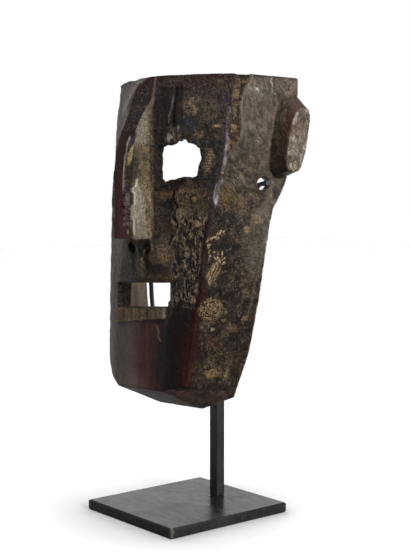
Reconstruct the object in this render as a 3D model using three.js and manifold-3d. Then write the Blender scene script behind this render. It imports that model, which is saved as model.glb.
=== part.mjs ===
// A carved wooden dance mask on its blackened steel display stand.
// Millimetres, +Z up. The origin is the middle of the plate's underside, and
// the mask looks towards -Y. The mask is one hollow piece of wood, open at the
// back; a square post and one bent rod hold it by its two tie holes.
import * as THREE from 'three';
import { mergeVertices } from 'three/addons/utils/BufferGeometryUtils.js';
import Module from 'manifold-3d';

const wasm = await Module();
wasm.setup();

// The stand
const PLATE_WIDTH = 131;
const PLATE_DEPTH = 141;
const PLATE_HEIGHT = 9.7;
const PLATE_CHAMFER = 1.2;
const POST_SIDE = 10;
const POST_Y = 38.3;
const POST_TOP = 178;
const ROD_DIAMETER = 4.4;
const ROD_STEPS = 80;
const FIT_GAP = 0.3;

// The mask: plan sections at ten heights, right half. All are distances from
// the middle plane (x) and along the depth (y, front negative).
//   front   depth of the face on the middle line, under the nose
//   inner   the point beside the nose, where the cheek plane starts
//   ridge   the long edge between the face and the side of the head
//   bevel   width of the worn bevel behind that edge
//   rim     the back edge of the shell
const SECTIONS = [
  { z: 94, front: -59, inner: [36, -57.5], ridge: [55, -48], bevel: 2, rim: [63, -6.4] },
  { z: 134, front: -58.8, inner: [38, -57], ridge: [58.8, -48.6], bevel: 2, rim: [71.2, 4.3] },
  { z: 162, front: -57, inner: [39, -55.6], ridge: [62.3, -46.9], bevel: 3, rim: [77.2, 10.8] },
  { z: 214, front: -53.6, inner: [40, -52], ridge: [68.6, -41], bevel: 4, rim: [89, 13.2] },
  { z: 250, front: -56.5, inner: [28, -55.4], ridge: [71, -38.3], bevel: 3, rim: [93, 16.6] },
  { z: 292, front: -59.5, inner: [20, -58], ridge: [75.6, -33.4], bevel: 3, rim: [96, 22.6] },
  { z: 306, front: -59.6, inner: [20.6, -57.9], ridge: [77.7, -31.1], bevel: 3.6, rim: [97.4, 30.6] },
  { z: 334, front: -59.5, inner: [22, -57.5], ridge: [82.3, -25.4], bevel: 5, rim: [99.5, 41.4] },
  { z: 380, front: -56.5, inner: [17.5, -54.5], ridge: [85.8, -19.6], bevel: 9, rim: [104.4, 45] },
  { z: 426, front: -42, inner: [12.5, -41.5], ridge: [87, -11.5], bevel: 12, rim: [105.5, 45] },
];
const SECTION_STEP = 12;
const FACE_BOW = 1.2;
const SIDE_BOW = 0.8;
const BEVEL_PROUD = 0.2;

// The top and the chin are cut by planes. Each plane has one point, and its
// rise along x and along y.
const TOP_PLANE = { at: [0, -46, 415.2], slope: [0.006, -0.047] };
const CHIN_FRONT = { at: [44, -57, 128.4], slope: [0.045, -0.432] };
const CHIN_LEFT = { at: [39, -4, 109.7], slope: [0.444, -0.374] };
const CHIN_RIGHT = { at: [-44, -57, 132.6], slope: [-0.72, -0.47] };
const CHIN_CORNER = { at: [-58.8, -48.6, 147.6], slope: [-1.4, -0.3] };
const CUTTER_SIZE = 600;

// The hollow
const WALL_FACE_LOW = 16;
const WALL_FACE_HIGH = 9;
const WALL_THINS = [250, 320];
const WALL_RIDGE = 9;
const WALL_RIM = 7.6;
const HOLLOW_BOTTOM = 124;
const HOLLOW_TOP = 398;
const HOLLOW_END_ROUND = 34;
const HOLLOW_END_WIDTH = 0.62;
const HOLLOW_OVERRUN = 30;

// The nose: half width and depth of its flat front at seven heights
const NOSE = [
  { z: 420, half: 10.5, front: -44.6 },
  { z: 396, half: 16, front: -52.6 },
  { z: 381, half: 15.3, front: -60 },
  { z: 365, half: 13.6, front: -68 },
  { z: 345, half: 13.6, front: -72.6 },
  { z: 303, half: 16.4, front: -75.3 },
  { z: 267, half: 15.8, front: -75 },
];
const NOSE_STEP = 9;
const NOSE_FLARE = 4.5;
const NOSE_FULL_DEPTH = 16;
const NOSE_ROOT_FACTOR = 1.25;
const NOSTRIL = { x: 12, z: 258, half: 4.6, height: 9, depth: 5, setBack: 0.6 };
const LIP_DROP = { x: 0, z: 245, half: 7.5, height: 31, depth: 5.6, setBack: 3 };

// Eyes, mouth and teeth
const CUT_FRONT = -70;
const CUT_BACK = 20;
// The hewn outline of an eye as [x, z]. Below its middle the lid falls away
// towards the front, and above it the hole rises towards the back.
const EYE_OUTLINE = [
  [27, 320], [38, 320.8], [48.5, 323], [56.5, 322.2], [62, 325], [62.6, 333], [64.8, 339.5], [62.4, 347.2],
  [59, 349.4], [52, 351], [48, 355], [40, 352], [33, 352.8], [24, 351], [23.8, 324],
];
const EYE_MIDDLE = 338;
const EYE_LID = { drop: 14, y: -44 };
const EYE_RISE = { height: 5, from: -48, to: -41 };
// The mouth's outline as [x, z], with a small lump left in one lower corner
const MOUTH_OUTLINE = [
  [-40.4, 199.4], [37.4, 205.6], [37.8, 210.6], [40.2, 212.4], [40.2, 228], [-40.4, 223.2],
];
const TEETH = { count: 6, left: -38.8, right: 35, bottom: 190.2, top: 203.4, tilt: 0.13, front: -55.6, back: -48 };
const TOOTH_GROOVE = { width: 1.6, depth: 1.2 };

// Ears: a flat block with a D outline, standing out from the side of the head
const EAR_FACE = { x: 118.9, y: 32, z: 356.2, halfY: 10.8, halfZ: 28.4, lean: 0.2 };
const EAR_ROOT = { x: 95, y: 33.1, z: 363, halfY: 12.4, halfZ: 41.5, lean: 0.08 };
const EAR_SIDES = 16;
const EAR_ROUNDNESS = { top: 0.62, front: 0.8, back: 0.5 };
const EAR_FACE_SPREAD = 0.1;

// Tie holes, square to the side of the head
const SIDE_SPREAD = 0.267;
const TIE_HOLE = { x: 96, y: 13.3, z: 317.4, diameter: 12, sides: 24, reach: 60 };

const wood = new THREE.MeshStandardMaterial({ color: 0x3c2f27, roughness: 0.55, metalness: 0 });
const plateSteel = new THREE.MeshStandardMaterial({ color: 0x5a5a5a, roughness: 0.45, metalness: 0.6 });
const barSteel = new THREE.MeshStandardMaterial({ color: 0x2c2e30, roughness: 0.5, metalness: 0.5 });

// Turns a closed geometry into a solid for cutting and joining.
function solid(geometry) {
  const bare = geometry.clone();
  bare.deleteAttribute('normal');
  bare.deleteAttribute('uv');
  const merged = mergeVertices(bare, 1e-4);
  return new wasm.Manifold(new wasm.Mesh({
    numProp: 3,
    vertProperties: new Float32Array(merged.attributes.position.array),
    triVerts: new Uint32Array(merged.index.array),
  }));
}

function geometryOf(body) {
  const mesh = body.getMesh();
  const geometry = new THREE.BufferGeometry();
  geometry.setAttribute('position', new THREE.BufferAttribute(new Float32Array(mesh.vertProperties), 3));
  geometry.setIndex(new THREE.BufferAttribute(new Uint32Array(mesh.triVerts), 1));
  geometry.computeVertexNormals();
  return geometry;
}

// Joins rings of equal length, bottom first and each anticlockwise seen from
// the last ring's side, into one closed geometry.
function loft(rings) {
  const count = rings[0].length;
  const positions = rings.flat().flatMap((p) => [p.x, p.y, p.z]);
  const index = [];
  for (let level = 0; level < rings.length - 1; level += 1) {
    for (let i = 0; i < count; i += 1) {
      const a = level * count + i;
      const b = level * count + ((i + 1) % count);
      index.push(a, b, b + count, a, b + count, a + count);
    }
  }
  const last = (rings.length - 1) * count;
  for (const [a, b, c] of filling(rings[0])) {
    index.push(a, c, b);
  }
  for (const [a, b, c] of filling(rings[rings.length - 1])) {
    index.push(last + a, last + b, last + c);
  }
  const geometry = new THREE.BufferGeometry();
  geometry.setAttribute('position', new THREE.Float32BufferAttribute(positions, 3));
  geometry.setIndex(index);
  return geometry;
}

// The triangles that fill a ring, in the ring's own direction. A level ring is
// read in XY, one that stands across X in YZ.
function filling(ring) {
  const spread = (key) => Math.max(...ring.map((p) => p[key])) - Math.min(...ring.map((p) => p[key]));
  const level = spread('z') < spread('x');
  const outline = ring.map((p) => (level ? new THREE.Vector2(p.x, p.y) : new THREE.Vector2(p.y, p.z)));
  const triangles = THREE.ShapeUtils.triangulateShape(outline, []);
  const clockwise = THREE.ShapeUtils.isClockWise(outline);
  return triangles.map(([a, b, c]) => (clockwise ? [a, c, b] : [a, b, c]));
}

// A value between a table's rows by height, along a smooth curve.
function at(table, z, read) {
  const rows = [...table].sort((a, b) => a.z - b.z);
  let i = 0;
  while (i < rows.length - 2 && z > rows[i + 1].z) {
    i += 1;
  }
  const slope = (k) => {
    const low = Math.max(k - 1, 0);
    const high = Math.min(k + 1, rows.length - 1);
    return (read(rows[high]) - read(rows[low])) / (rows[high].z - rows[low].z);
  };
  const span = rows[i + 1].z - rows[i].z;
  const t = (z - rows[i].z) / span;
  const a = read(rows[i]);
  const b = read(rows[i + 1]);
  return a * (1 + 2 * t) * (1 - t) ** 2 + b * (3 - 2 * t) * t ** 2
    + span * (slope(i) * t * (1 - t) ** 2 - slope(i + 1) * (1 - t) * t ** 2);
}

// Points from a to b that bow outwards by the given height.
function bowed(a, b, height, parts) {
  const along = new THREE.Vector2().subVectors(b, a);
  const out = new THREE.Vector2(along.y, -along.x).normalize();
  return Array.from({ length: parts }, (_, i) => {
    const t = i / parts;
    return a.clone().addScaledVector(along, t).addScaledVector(out, height * 4 * t * (1 - t));
  });
}

// The named corners of the outside at height z, right half.
function cornersAt(z) {
  const point = (key) => new THREE.Vector2(at(SECTIONS, z, (s) => s[key][0]), at(SECTIONS, z, (s) => s[key][1]));
  const front = new THREE.Vector2(0, at(SECTIONS, z, (s) => s.front));
  const ridge = point('ridge');
  const rim = point('rim');
  const bevelWidth = at(SECTIONS, z, (s) => s.bevel);
  const side = new THREE.Vector2().subVectors(rim, ridge).normalize();
  const outward = new THREE.Vector2(side.y, -side.x);
  const bevel = ridge.clone().addScaledVector(side, bevelWidth).addScaledVector(outward, bevelWidth * BEVEL_PROUD);
  return { front, inner: point('inner'), ridge, bevel, rim };
}

// The right half of the outside, from the middle of the face to the rim.
function outsideHalf(z) {
  const { front, inner, ridge, bevel, rim } = cornersAt(z);
  return [
    ...bowed(front, inner, 0, 2),
    ...bowed(inner, ridge, FACE_BOW, 4),
    ridge,
    ...bowed(bevel, rim, SIDE_BOW, 3),
    rim,
  ];
}

// The same for the hollow, a wall's thickness inside; it runs out behind the rim.
function hollowHalf(z) {
  const { front, inner, ridge, rim } = cornersAt(z);
  const wall = THREE.MathUtils.lerp(WALL_FACE_LOW, WALL_FACE_HIGH, THREE.MathUtils.smoothstep(z, ...WALL_THINS));
  return [
    new THREE.Vector2(0, front.y + wall),
    new THREE.Vector2(inner.x, inner.y + wall),
    new THREE.Vector2((inner.x + ridge.x) / 2 - 4, (inner.y + ridge.y) / 2 + wall - 2),
    new THREE.Vector2(ridge.x - WALL_RIDGE - 4, ridge.y + wall - 3),
    new THREE.Vector2(ridge.x - WALL_RIDGE + 1, ridge.y + wall + 7),
    new THREE.Vector2(rim.x - WALL_RIM, rim.y),
    new THREE.Vector2(rim.x - WALL_RIM + 2, rim.y + HOLLOW_OVERRUN),
  ];
}

function mirrored(half, z, shrink = 1, pivot = 0) {
  const place = (x, y) => new THREE.Vector3(x * shrink, pivot + (y - pivot) * shrink, z);
  const right = half.map((p) => place(p.x, p.y));
  const left = half.slice(1).reverse().map((p) => place(-p.x, p.y));
  return [...right, ...left];
}

function levels(bottom, top, step) {
  const count = Math.ceil((top - bottom) / step);
  return Array.from({ length: count + 1 }, (_, i) => bottom + (top - bottom) * (i / count));
}

function outsideBody() {
  const bottom = SECTIONS[0].z;
  const top = SECTIONS[SECTIONS.length - 1].z;
  return solid(loft(levels(bottom, top, SECTION_STEP).map((z) => mirrored(outsideHalf(z), z))));
}

// The hollow narrows in a round towards its floor and its roof.
function hollowBody() {
  const rings = levels(HOLLOW_BOTTOM, HOLLOW_TOP, SECTION_STEP).map((z) => {
    const toEnd = Math.min(z - HOLLOW_BOTTOM, HOLLOW_TOP - z);
    const t = 1 - Math.min(toEnd / HOLLOW_END_ROUND, 1);
    const shrink = HOLLOW_END_WIDTH + (1 - HOLLOW_END_WIDTH) * Math.sqrt(1 - t * t);
    const half = hollowHalf(z);
    return mirrored(half, z, shrink, half[half.length - 1].y);
  });
  return solid(loft(rings));
}

// A block whose face lies in a sloping plane; it takes away all above it, or
// all below it.
function slopingBlock(plane, above) {
  const block = new THREE.BoxGeometry(CUTTER_SIZE, CUTTER_SIZE, CUTTER_SIZE);
  const normal = new THREE.Vector3(-plane.slope[0], -plane.slope[1], 1).normalize();
  const turn = new THREE.Quaternion().setFromUnitVectors(new THREE.Vector3(0, 0, 1), normal);
  const shift = above ? CUTTER_SIZE / 2 : -CUTTER_SIZE / 2;
  block.applyQuaternion(turn);
  const centre = new THREE.Vector3(...plane.at);
  centre.addScaledVector(normal, shift);
  block.translate(centre.x, centre.y, centre.z);
  return solid(block);
}

// The nose: a tapering bar with a flat front, flaring to its foot. Its flanks
// run on into the face, so that the two join cleanly.
function noseBody() {
  const bottom = NOSE[NOSE.length - 1].z;
  const top = NOSE[0].z;
  const rings = levels(bottom, top, NOSE_STEP).map((z) => {
    const half = at(NOSE, z, (n) => n.half);
    const front = at(NOSE, z, (n) => n.front);
    const proud = Math.max(at(SECTIONS, z, (s) => s.inner[1]) - front, 0);
    const flare = NOSE_FLARE * Math.min(proud / NOSE_FULL_DEPTH, 1);
    const foot = half + flare * NOSE_ROOT_FACTOR;
    const footY = front + proud * NOSE_ROOT_FACTOR + 1.5;
    return [
      new THREE.Vector3(-half, front, z),
      new THREE.Vector3(half, front, z),
      new THREE.Vector3(foot, footY, z),
      new THREE.Vector3(-foot, footY, z),
    ];
  });
  return solid(loft(rings));
}

function box(x0, x1, y0, y1, z0, z1) {
  const block = new THREE.BoxGeometry(x1 - x0, y1 - y0, z1 - z0);
  block.translate((x0 + x1) / 2, (y0 + y1) / 2, (z0 + z1) / 2);
  return block;
}

function nostril(side) {
  const pit = new THREE.SphereGeometry(1, 12, 8);
  pit.scale(NOSTRIL.half, NOSTRIL.depth, NOSTRIL.height / 2);
  pit.translate(side * NOSTRIL.x, at(SECTIONS, NOSTRIL.z, (s) => s.front) + NOSTRIL.setBack, NOSTRIL.z);
  return solid(pit);
}

// The drop-shaped ridge between the nose and the mouth.
function lipDrop() {
  const drop = new THREE.SphereGeometry(1, 14, 10);
  drop.scale(LIP_DROP.half, LIP_DROP.depth, LIP_DROP.height / 2);
  drop.translate(LIP_DROP.x, at(SECTIONS, LIP_DROP.z, (s) => s.front) + LIP_DROP.setBack, LIP_DROP.z);
  return solid(drop);
}

// An eye: a square hole hewn out of true, with its lower lid cut down towards
// the front.
function eye(side) {
  const heights = EYE_OUTLINE.map((p) => p[1]);
  const below = EYE_MIDDLE - Math.min(...heights);
  const above = Math.max(...heights) - EYE_MIDDLE;
  const ring = (y) => EYE_OUTLINE.map(([x, z]) => {
    const drop = y < EYE_LID.y ? EYE_LID.drop * (EYE_LID.y - y) / (EYE_LID.y - CUT_FRONT) : 0;
    const rise = EYE_RISE.height * THREE.MathUtils.smoothstep(y, EYE_RISE.from, EYE_RISE.to);
    const lowness = Math.max(EYE_MIDDLE - z, 0) / below;
    const highness = Math.max(z - EYE_MIDDLE, 0) / above;
    return new THREE.Vector3(side * x, y, z - drop * lowness + rise * highness);
  });
  const rings = [CUT_FRONT, EYE_RISE.from, EYE_LID.y, EYE_RISE.to, CUT_BACK].map(ring);
  const ordered = side > 0 ? rings.map((r) => r.reverse()) : rings;
  return solid(loftAlongY(ordered));
}

// A loft whose rings stand across Y.
function loftAlongY(rings) {
  const turned = rings.map((ring) => ring.map((p) => new THREE.Vector3(p.z, p.x, p.y)));
  const geometry = loft(turned);
  geometry.applyMatrix4(new THREE.Matrix4().makeBasis(
    new THREE.Vector3(0, 0, 1), new THREE.Vector3(1, 0, 0), new THREE.Vector3(0, 1, 0)));
  return geometry;
}

function mouthHole() {
  const rings = [CUT_FRONT, 0].map((y) => MOUTH_OUTLINE.map(([x, z]) => new THREE.Vector3(x, y, z)).reverse());
  return solid(loftAlongY(rings));
}

// The teeth under the mouth rise a little to one side.
function tilted(geometry) {
  const shear = new THREE.Matrix4().set(1, 0, 0, 0, 0, 1, 0, 0, TEETH.tilt, 0, 1, 0, 0, 0, 0, 1);
  return geometry.applyMatrix4(shear);
}

// The teeth: a low flat panel under the mouth, cut by upright grooves.
function teeth() {
  let panel = solid(tilted(box(TEETH.left, TEETH.right, TEETH.front, TEETH.back, TEETH.bottom, TEETH.top)));
  const pitch = (TEETH.right - TEETH.left) / TEETH.count;
  for (let i = 0; i <= TEETH.count; i += 1) {
    const x = TEETH.left + i * pitch;
    const half = TOOTH_GROOVE.width / 2;
    const floor = TEETH.front + TOOTH_GROOVE.depth;
    const groove = box(x - half, x + half, CUT_FRONT, floor, TEETH.bottom - 1, TEETH.top + 1);
    panel = panel.subtract(solid(tilted(groove)));
  }
  return panel;
}

// An ear, from a root inside the wall to its flat outer face.
function ear(side) {
  const ring = (size, spread) => Array.from({ length: EAR_SIDES }, (_, i) => {
    const a = (i / EAR_SIDES) * Math.PI * 2;
    const c = Math.cos(a);
    const s = Math.sin(a);
    const roundness = c > 0 ? EAR_ROUNDNESS.back : EAR_ROUNDNESS.front;
    const dz = size.halfZ * Math.sign(s) * Math.abs(s) ** EAR_ROUNDNESS.top;
    const y = size.y + size.halfY * Math.sign(c) * Math.abs(c) ** roundness + size.lean * dz;
    return new THREE.Vector3(side * (size.x + spread * (y - size.y)), y, size.z + dz);
  });
  const rings = [ring(EAR_ROOT, SIDE_SPREAD), ring(EAR_FACE, EAR_FACE_SPREAD)];
  return solid(loft(side > 0 ? rings : rings.map((r) => r.reverse())));
}

function tieHole(side) {
  const radius = TIE_HOLE.diameter / 2;
  const drill = new THREE.CylinderGeometry(radius, radius, TIE_HOLE.reach, TIE_HOLE.sides);
  drill.rotateZ(Math.PI / 2 - side * Math.atan(SIDE_SPREAD));
  drill.translate(side * TIE_HOLE.x, TIE_HOLE.y, TIE_HOLE.z);
  return solid(drill);
}

function maskSolid() {
  let body = outsideBody().add(noseBody());
  body = body.add(lipDrop()).add(teeth());
  for (const side of [1, -1]) {
    body = body.add(ear(side));
  }
  body = body.subtract(slopingBlock(TOP_PLANE, true));
  for (const plane of [CHIN_FRONT, CHIN_LEFT, CHIN_RIGHT, CHIN_CORNER]) {
    body = body.subtract(slopingBlock(plane, false));
  }
  body = body.subtract(hollowBody());
  body = body.subtract(mouthHole());
  for (const side of [1, -1]) {
    body = body.subtract(nostril(side)).subtract(eye(side)).subtract(tieHole(side));
  }
  return geometryOf(body);
}

// The plate: a steel slab with a small chamfer along its top and bottom edges.
function plateGeometry() {
  const halfWidth = PLATE_WIDTH / 2 - PLATE_CHAMFER;
  const halfDepth = PLATE_DEPTH / 2 - PLATE_CHAMFER;
  const outline = new THREE.Shape([
    new THREE.Vector2(-halfWidth, -halfDepth), new THREE.Vector2(halfWidth, -halfDepth),
    new THREE.Vector2(halfWidth, halfDepth), new THREE.Vector2(-halfWidth, halfDepth),
  ]);
  const plate = new THREE.ExtrudeGeometry(outline, {
    depth: PLATE_HEIGHT - 2 * PLATE_CHAMFER,
    bevelEnabled: true,
    bevelThickness: PLATE_CHAMFER,
    bevelSize: PLATE_CHAMFER,
    bevelSegments: 1,
  });
  plate.translate(0, 0, PLATE_CHAMFER);
  return plate;
}

function postGeometry() {
  const foot = PLATE_HEIGHT + FIT_GAP;
  const half = POST_SIDE / 2;
  return box(-half, half, POST_Y - half, POST_Y + half, foot, POST_TOP);
}

// The rod: a cross piece in front of the post, two arms that rise inside the
// mask's rim, and a hook out through each tie hole.
function rodGeometry() {
  const radius = ROD_DIAMETER / 2;
  const crossY = POST_Y - POST_SIDE / 2 - FIT_GAP - radius;
  const hookZ = TIE_HOLE.z;
  const holeY = (x) => TIE_HOLE.y - SIDE_SPREAD * (x - TIE_HOLE.x);
  const arm = [
    [101.5, holeY(101.5), hookZ + 0.8],
    [92, holeY(92), hookZ + 0.2],
    [86, holeY(86), hookZ - 0.4],
    [81.8, holeY(81.8), hookZ - 2.4],
    [79.2, holeY(83), hookZ - 7],
    [78.2, holeY(85), hookZ - 15],
    [78.6, 14.6, 270],
    [77.4, 15.6, 218],
    [76, 15.8, 198],
    [74.6, 15.9, 190],
    [71.5, 16.8, 182.5],
    [64.5, 19.5, 176],
    [54, 24, 171.5],
    [40, crossY - 1, 169],
    [20, crossY, 168],
  ];
  const points = [
    ...arm.map(([x, y, z]) => new THREE.Vector3(x, y, z)),
    ...arm.map(([x, y, z]) => new THREE.Vector3(-x, y, z)).reverse(),
  ];
  const path = new THREE.CatmullRomCurve3(points, false, 'centripetal');
  const section = new THREE.Shape();
  section.absarc(0, 0, radius, 0, Math.PI * 2, false);
  return new THREE.ExtrudeGeometry(section, { steps: ROD_STEPS, curveSegments: 4, extrudePath: path });
}

function piece(name, geometry, material) {
  const mesh = new THREE.Mesh(geometry, material);
  mesh.name = name;
  return mesh;
}

const danceMask = new THREE.Group();
danceMask.name = 'dance_mask_on_stand';
danceMask.add(
  piece('base_plate', plateGeometry(), plateSteel),
  piece('post', postGeometry(), barSteel),
  piece('support_rod', rodGeometry(), barSteel),
  piece('mask', maskSolid(), wood),
);

export default danceMask;
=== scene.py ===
# A carved wooden dance mask on its blackened steel display stand, in metres,
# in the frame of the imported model: +Z up, the mask looks towards -Y.
import math

import bmesh
import bpy
import numpy as np
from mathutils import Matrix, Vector


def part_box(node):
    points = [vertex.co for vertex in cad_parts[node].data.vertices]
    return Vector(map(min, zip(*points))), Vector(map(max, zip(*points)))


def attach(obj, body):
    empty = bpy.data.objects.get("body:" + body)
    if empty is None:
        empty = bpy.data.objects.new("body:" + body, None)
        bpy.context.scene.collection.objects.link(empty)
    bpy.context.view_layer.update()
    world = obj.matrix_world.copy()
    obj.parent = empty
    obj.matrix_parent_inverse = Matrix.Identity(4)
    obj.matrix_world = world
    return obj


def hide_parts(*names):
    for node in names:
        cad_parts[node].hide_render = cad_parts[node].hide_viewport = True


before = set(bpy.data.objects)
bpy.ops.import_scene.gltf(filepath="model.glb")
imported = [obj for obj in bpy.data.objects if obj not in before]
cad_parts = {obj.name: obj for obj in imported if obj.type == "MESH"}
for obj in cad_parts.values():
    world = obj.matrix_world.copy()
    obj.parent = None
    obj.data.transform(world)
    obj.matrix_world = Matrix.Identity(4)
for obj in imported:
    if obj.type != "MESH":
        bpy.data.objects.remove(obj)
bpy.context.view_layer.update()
scene = bpy.context.scene
MM = 0.001

# The mask: one piece of dense wood, hewn with an adze, pierced and oiled, that
# hangs by its two tie holes on the hooks of the rod. First its form: a fine
# mesh on the solid's shape, its edges kept but worn, and thinner in the hollow.
FINENESS = 8
FILLED = 0.9
WORN = 0.45
THINNED_TO = 0.7
WELD = 0.002 * MM

bm = bmesh.new()
bm.from_mesh(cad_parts["mask"].data)
bmesh.ops.remove_doubles(bm, verts=bm.verts, dist=WELD)
blank = bpy.data.meshes.new("mask_blank")
bm.to_mesh(blank)
bm.free()
block = bpy.data.objects.new("mask_blank", blank)
scene.collection.objects.link(block)
remesh = block.modifiers.new("fine", "REMESH")
remesh.mode = "SHARP"
remesh.octree_depth = FINENESS
remesh.scale = FILLED
remesh.sharpness = 1.0
remesh.use_remove_disconnected = False
fine_mesh = bpy.data.meshes.new_from_object(block.evaluated_get(bpy.context.evaluated_depsgraph_get()))
bpy.data.objects.remove(block)

bm = bmesh.new()
bm.from_mesh(fine_mesh)
bmesh.ops.smooth_vert(bm, verts=bm.verts, factor=WORN, use_axis_x=True, use_axis_y=True, use_axis_z=True)
inner = [v for v in bm.verts if v.normal.x * v.co.x < 0 and v.normal.y > -0.5 or v.normal.y > 0.25]
hollow_points = [v.index for v in inner]
bm.to_mesh(fine_mesh)
bm.free()
fine = bpy.data.objects.new("mask_fine", fine_mesh)
scene.collection.objects.link(fine)
fine.vertex_groups.new(name="hollow").add(hollow_points, 1, "REPLACE")
thinner = fine.modifiers.new("thinner", "DECIMATE")
thinner.ratio = THINNED_TO
thinner.vertex_group = "hollow"
carved_mesh = bpy.data.meshes.new_from_object(fine.evaluated_get(bpy.context.evaluated_depsgraph_get()))
bpy.data.objects.remove(fine)
mask = bpy.data.objects.new("mask_carved", carved_mesh)
scene.collection.objects.link(mask)


def read(what):
    values = np.zeros(len(carved_mesh.vertices) * 3)
    carved_mesh.vertices.foreach_get(what, values)
    return values.reshape(-1, 3)


place = read("co") / MM
facing = read("normal")
x, y, z = place.T
across = np.abs(x)
side = np.where(x < 0, -1.0, 1.0)


# Soft random fields and soft zones, all worked out from the place on the mask
# in mm, so that they are the same each time.
def lattice(at_points, seed):
    table = np.random.default_rng(seed).random((32, 32, 32))
    cell = np.floor(at_points).astype(int)
    t = at_points - cell
    t = t * t * (3 - 2 * t)
    total = 0
    for dx in (0, 1):
        for dy in (0, 1):
            for dz in (0, 1):
                weight = np.where(dx, t[:, 0], 1 - t[:, 0])
                weight = weight * np.where(dy, t[:, 1], 1 - t[:, 1])
                weight = weight * np.where(dz, t[:, 2], 1 - t[:, 2])
                near = (cell + (dx, dy, dz)) % 32
                total = total + weight * table[tuple(near.T)]
    return total


def cloud(size, seed, octaves=2, upright=1, sideways=1):
    """A soft field from about 0 to 1, with lumps of a size in mm, drawn out or not."""
    total, weight = 0, 0
    for octave in range(octaves):
        strength = 0.55 ** octave
        total = total + strength * lattice(place / (sideways, 1, upright) / size * 2 ** octave, seed + octave)
        weight += strength
    return np.clip((total / weight - 0.5) * 1.7 + 0.5, 0, 1)


def cuts(size, seed, upright):
    """Tool cuts: 0 in the middle of each shallow cut, 1 on the ridges between."""
    at_points = place / (1, 1, upright) / size
    cell = np.floor(at_points).astype(int)
    table = np.random.default_rng(seed).random((16, 16, 16, 3))
    nearest = np.full(len(at_points), 9.0)
    for step in np.ndindex(3, 3, 3):
        near = cell + np.array(step) - 1
        middle = near + table[tuple(near.T % 16)]
        nearest = np.minimum(nearest, ((at_points - middle) ** 2).sum(axis=1))
    return np.clip(nearest, 0, 1)


def ramp(value, low, high):
    t = np.clip((value - low) / (high - low), 0, 1)
    return t * t * (3 - 2 * t)


def fade(value, low, high):
    return 1 - ramp(value, low, high)


def span(value, low, rises_to, falls_from, high):
    """1 between two places and 0 outside them, with a soft edge at each end."""
    return ramp(value, low, rises_to) * fade(value, falls_from, high)


def spots(low, high, *field, **lengths):
    """1 in the thicker lumps of a soft field and 0 between them."""
    return ramp(cloud(*field, **lengths), low, high)


def along(heights, values):
    return np.interp(z, heights, values)


def patch(u, v, centre, radii, turn=0, soft=0.3):
    """1 inside a turned oval and 0 outside, with a soft edge."""
    a = math.radians(turn)
    du, dv = u - centre[0], v - centre[1]
    p = (du * math.cos(a) + dv * math.sin(a)) / radii[0]
    q = (-du * math.sin(a) + dv * math.cos(a)) / radii[1]
    return fade(np.hypot(p, q), 1 - soft, 1 + soft)


def stroke(u, v, points, width, soft=0.5):
    """1 along a line through the points and 0 beyond its half width."""
    nearest = np.full(len(u), 1e9)
    for (au, av), (bu, bv) in zip(points, points[1:]):
        du, dv = bu - au, bv - av
        t = np.clip(((u - au) * du + (v - av) * dv) / (du * du + dv * dv), 0, 1)
        nearest = np.minimum(nearest, np.hypot(u - au - t * du, v - av - t * dv))
    return fade(nearest, width * (1 - soft), width)


# Where each part of the surface lies. The ridge is the long worn edge
# between the face and the side of the head.
RIDGE_HEIGHTS = (94, 134, 162, 214, 250, 292, 306, 334, 380, 426)
RIDGE_ACROSS = (55, 58.8, 62.3, 68.6, 71, 75.6, 77.7, 82.3, 85.8, 87)
RIDGE_DEPTH = (-48, -48.6, -46.9, -41, -38.3, -33.4, -31.1, -25.4, -19.6, -11.5)
RIM_DEPTH = (-6.4, 4.3, 10.8, 13.2, 16.6, 22.6, 30.6, 41.4, 45, 45)
ridge_x = along(RIDGE_HEIGHTS, RIDGE_ACROSS)
rim_y = along(RIDGE_HEIGHTS, RIM_DEPTH)
ridge_y = along(RIDGE_HEIGHTS, RIDGE_DEPTH)
NOSE_EDGE = ((262, 300, 330, 357, 372, 384, 396, 414), (12.5, 12, 12, 12, 10.6, 12, 13.4, 12))
VALLEY = ((240, 276, 303, 348, 393, 414), (22, 23.4, 23.4, 22.9, 16.6, 12))
nose_edge, valley = along(*NOSE_EDGE), along(*VALLEY)

outwards = facing[:, 0] * side
behind = ramp(facing[:, 1], 0.2, 0.45)
behind = behind + ramp(-outwards, 0.4, 0.6) * ramp(across, 8, 14) * ramp(y, -46, -42)
behind = behind + ramp(facing[:, 2], 0.5, 0.7) * ramp(146 - z, 0, 3)
ceiling = ramp(-facing[:, 2], 0.5, 0.7) * ramp(z, 364, 368) * ramp(y, -38, -34)
behind = behind + ceiling * ramp(88 - across, 0, 3)
hollow = np.clip(behind, 0, 1)
outer = 1 - hollow
seen = outer * (x > 0)
head_side = outer * ramp(outwards, 0.72, 0.86) * ramp(across, 50, 56) * ramp(z, 118, 128)
face = outer * (1 - head_side) * ramp(-facing[:, 1], 0.25, 0.5) * ramp(95 - across, 0, 3)
ear = outer * ramp(across, 100.5, 103.5) * ramp(y, 14, 22)
ear_face = ear * ramp(outwards, 0.8, 0.93) * ramp(across, 115, 117.5)
over_lip = ramp(z, 262, 265)
nose_front = face * over_lip * fade(across, nose_edge - 0.8, nose_edge + 0.8)
flank = outer * over_lip * span(across, nose_edge - 0.6, nose_edge + 0.8, valley - 1.5, valley)
flank = flank * ramp(-y, 44, 47) * ramp(392 - z, 0, 6)
cheek = face * ramp(across, valley - 1.2, valley + 0.6)
ridge_gap = np.hypot(across - ridge_x, y - ridge_y)
ridge = outer * fade(ridge_gap, 2.2, 4.2)
hole_wall = span(across, 20, 24, 65, 68) * span(z, 312, 320, 354, 358)
hole_wall = np.clip(hole_wall * fade(-facing[:, 1], 0.35, 0.6) * ramp(60 + y, 0, 6), 0, 1)
chin_under = outer * ramp(-facing[:, 2], 0.45, 0.65) * ramp(132 - z, 0, 4)

on_front = seen * (1 - head_side)
on_side = seen * ramp(outwards, 0.5, 0.7) * ramp(across, 50, 56)

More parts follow.
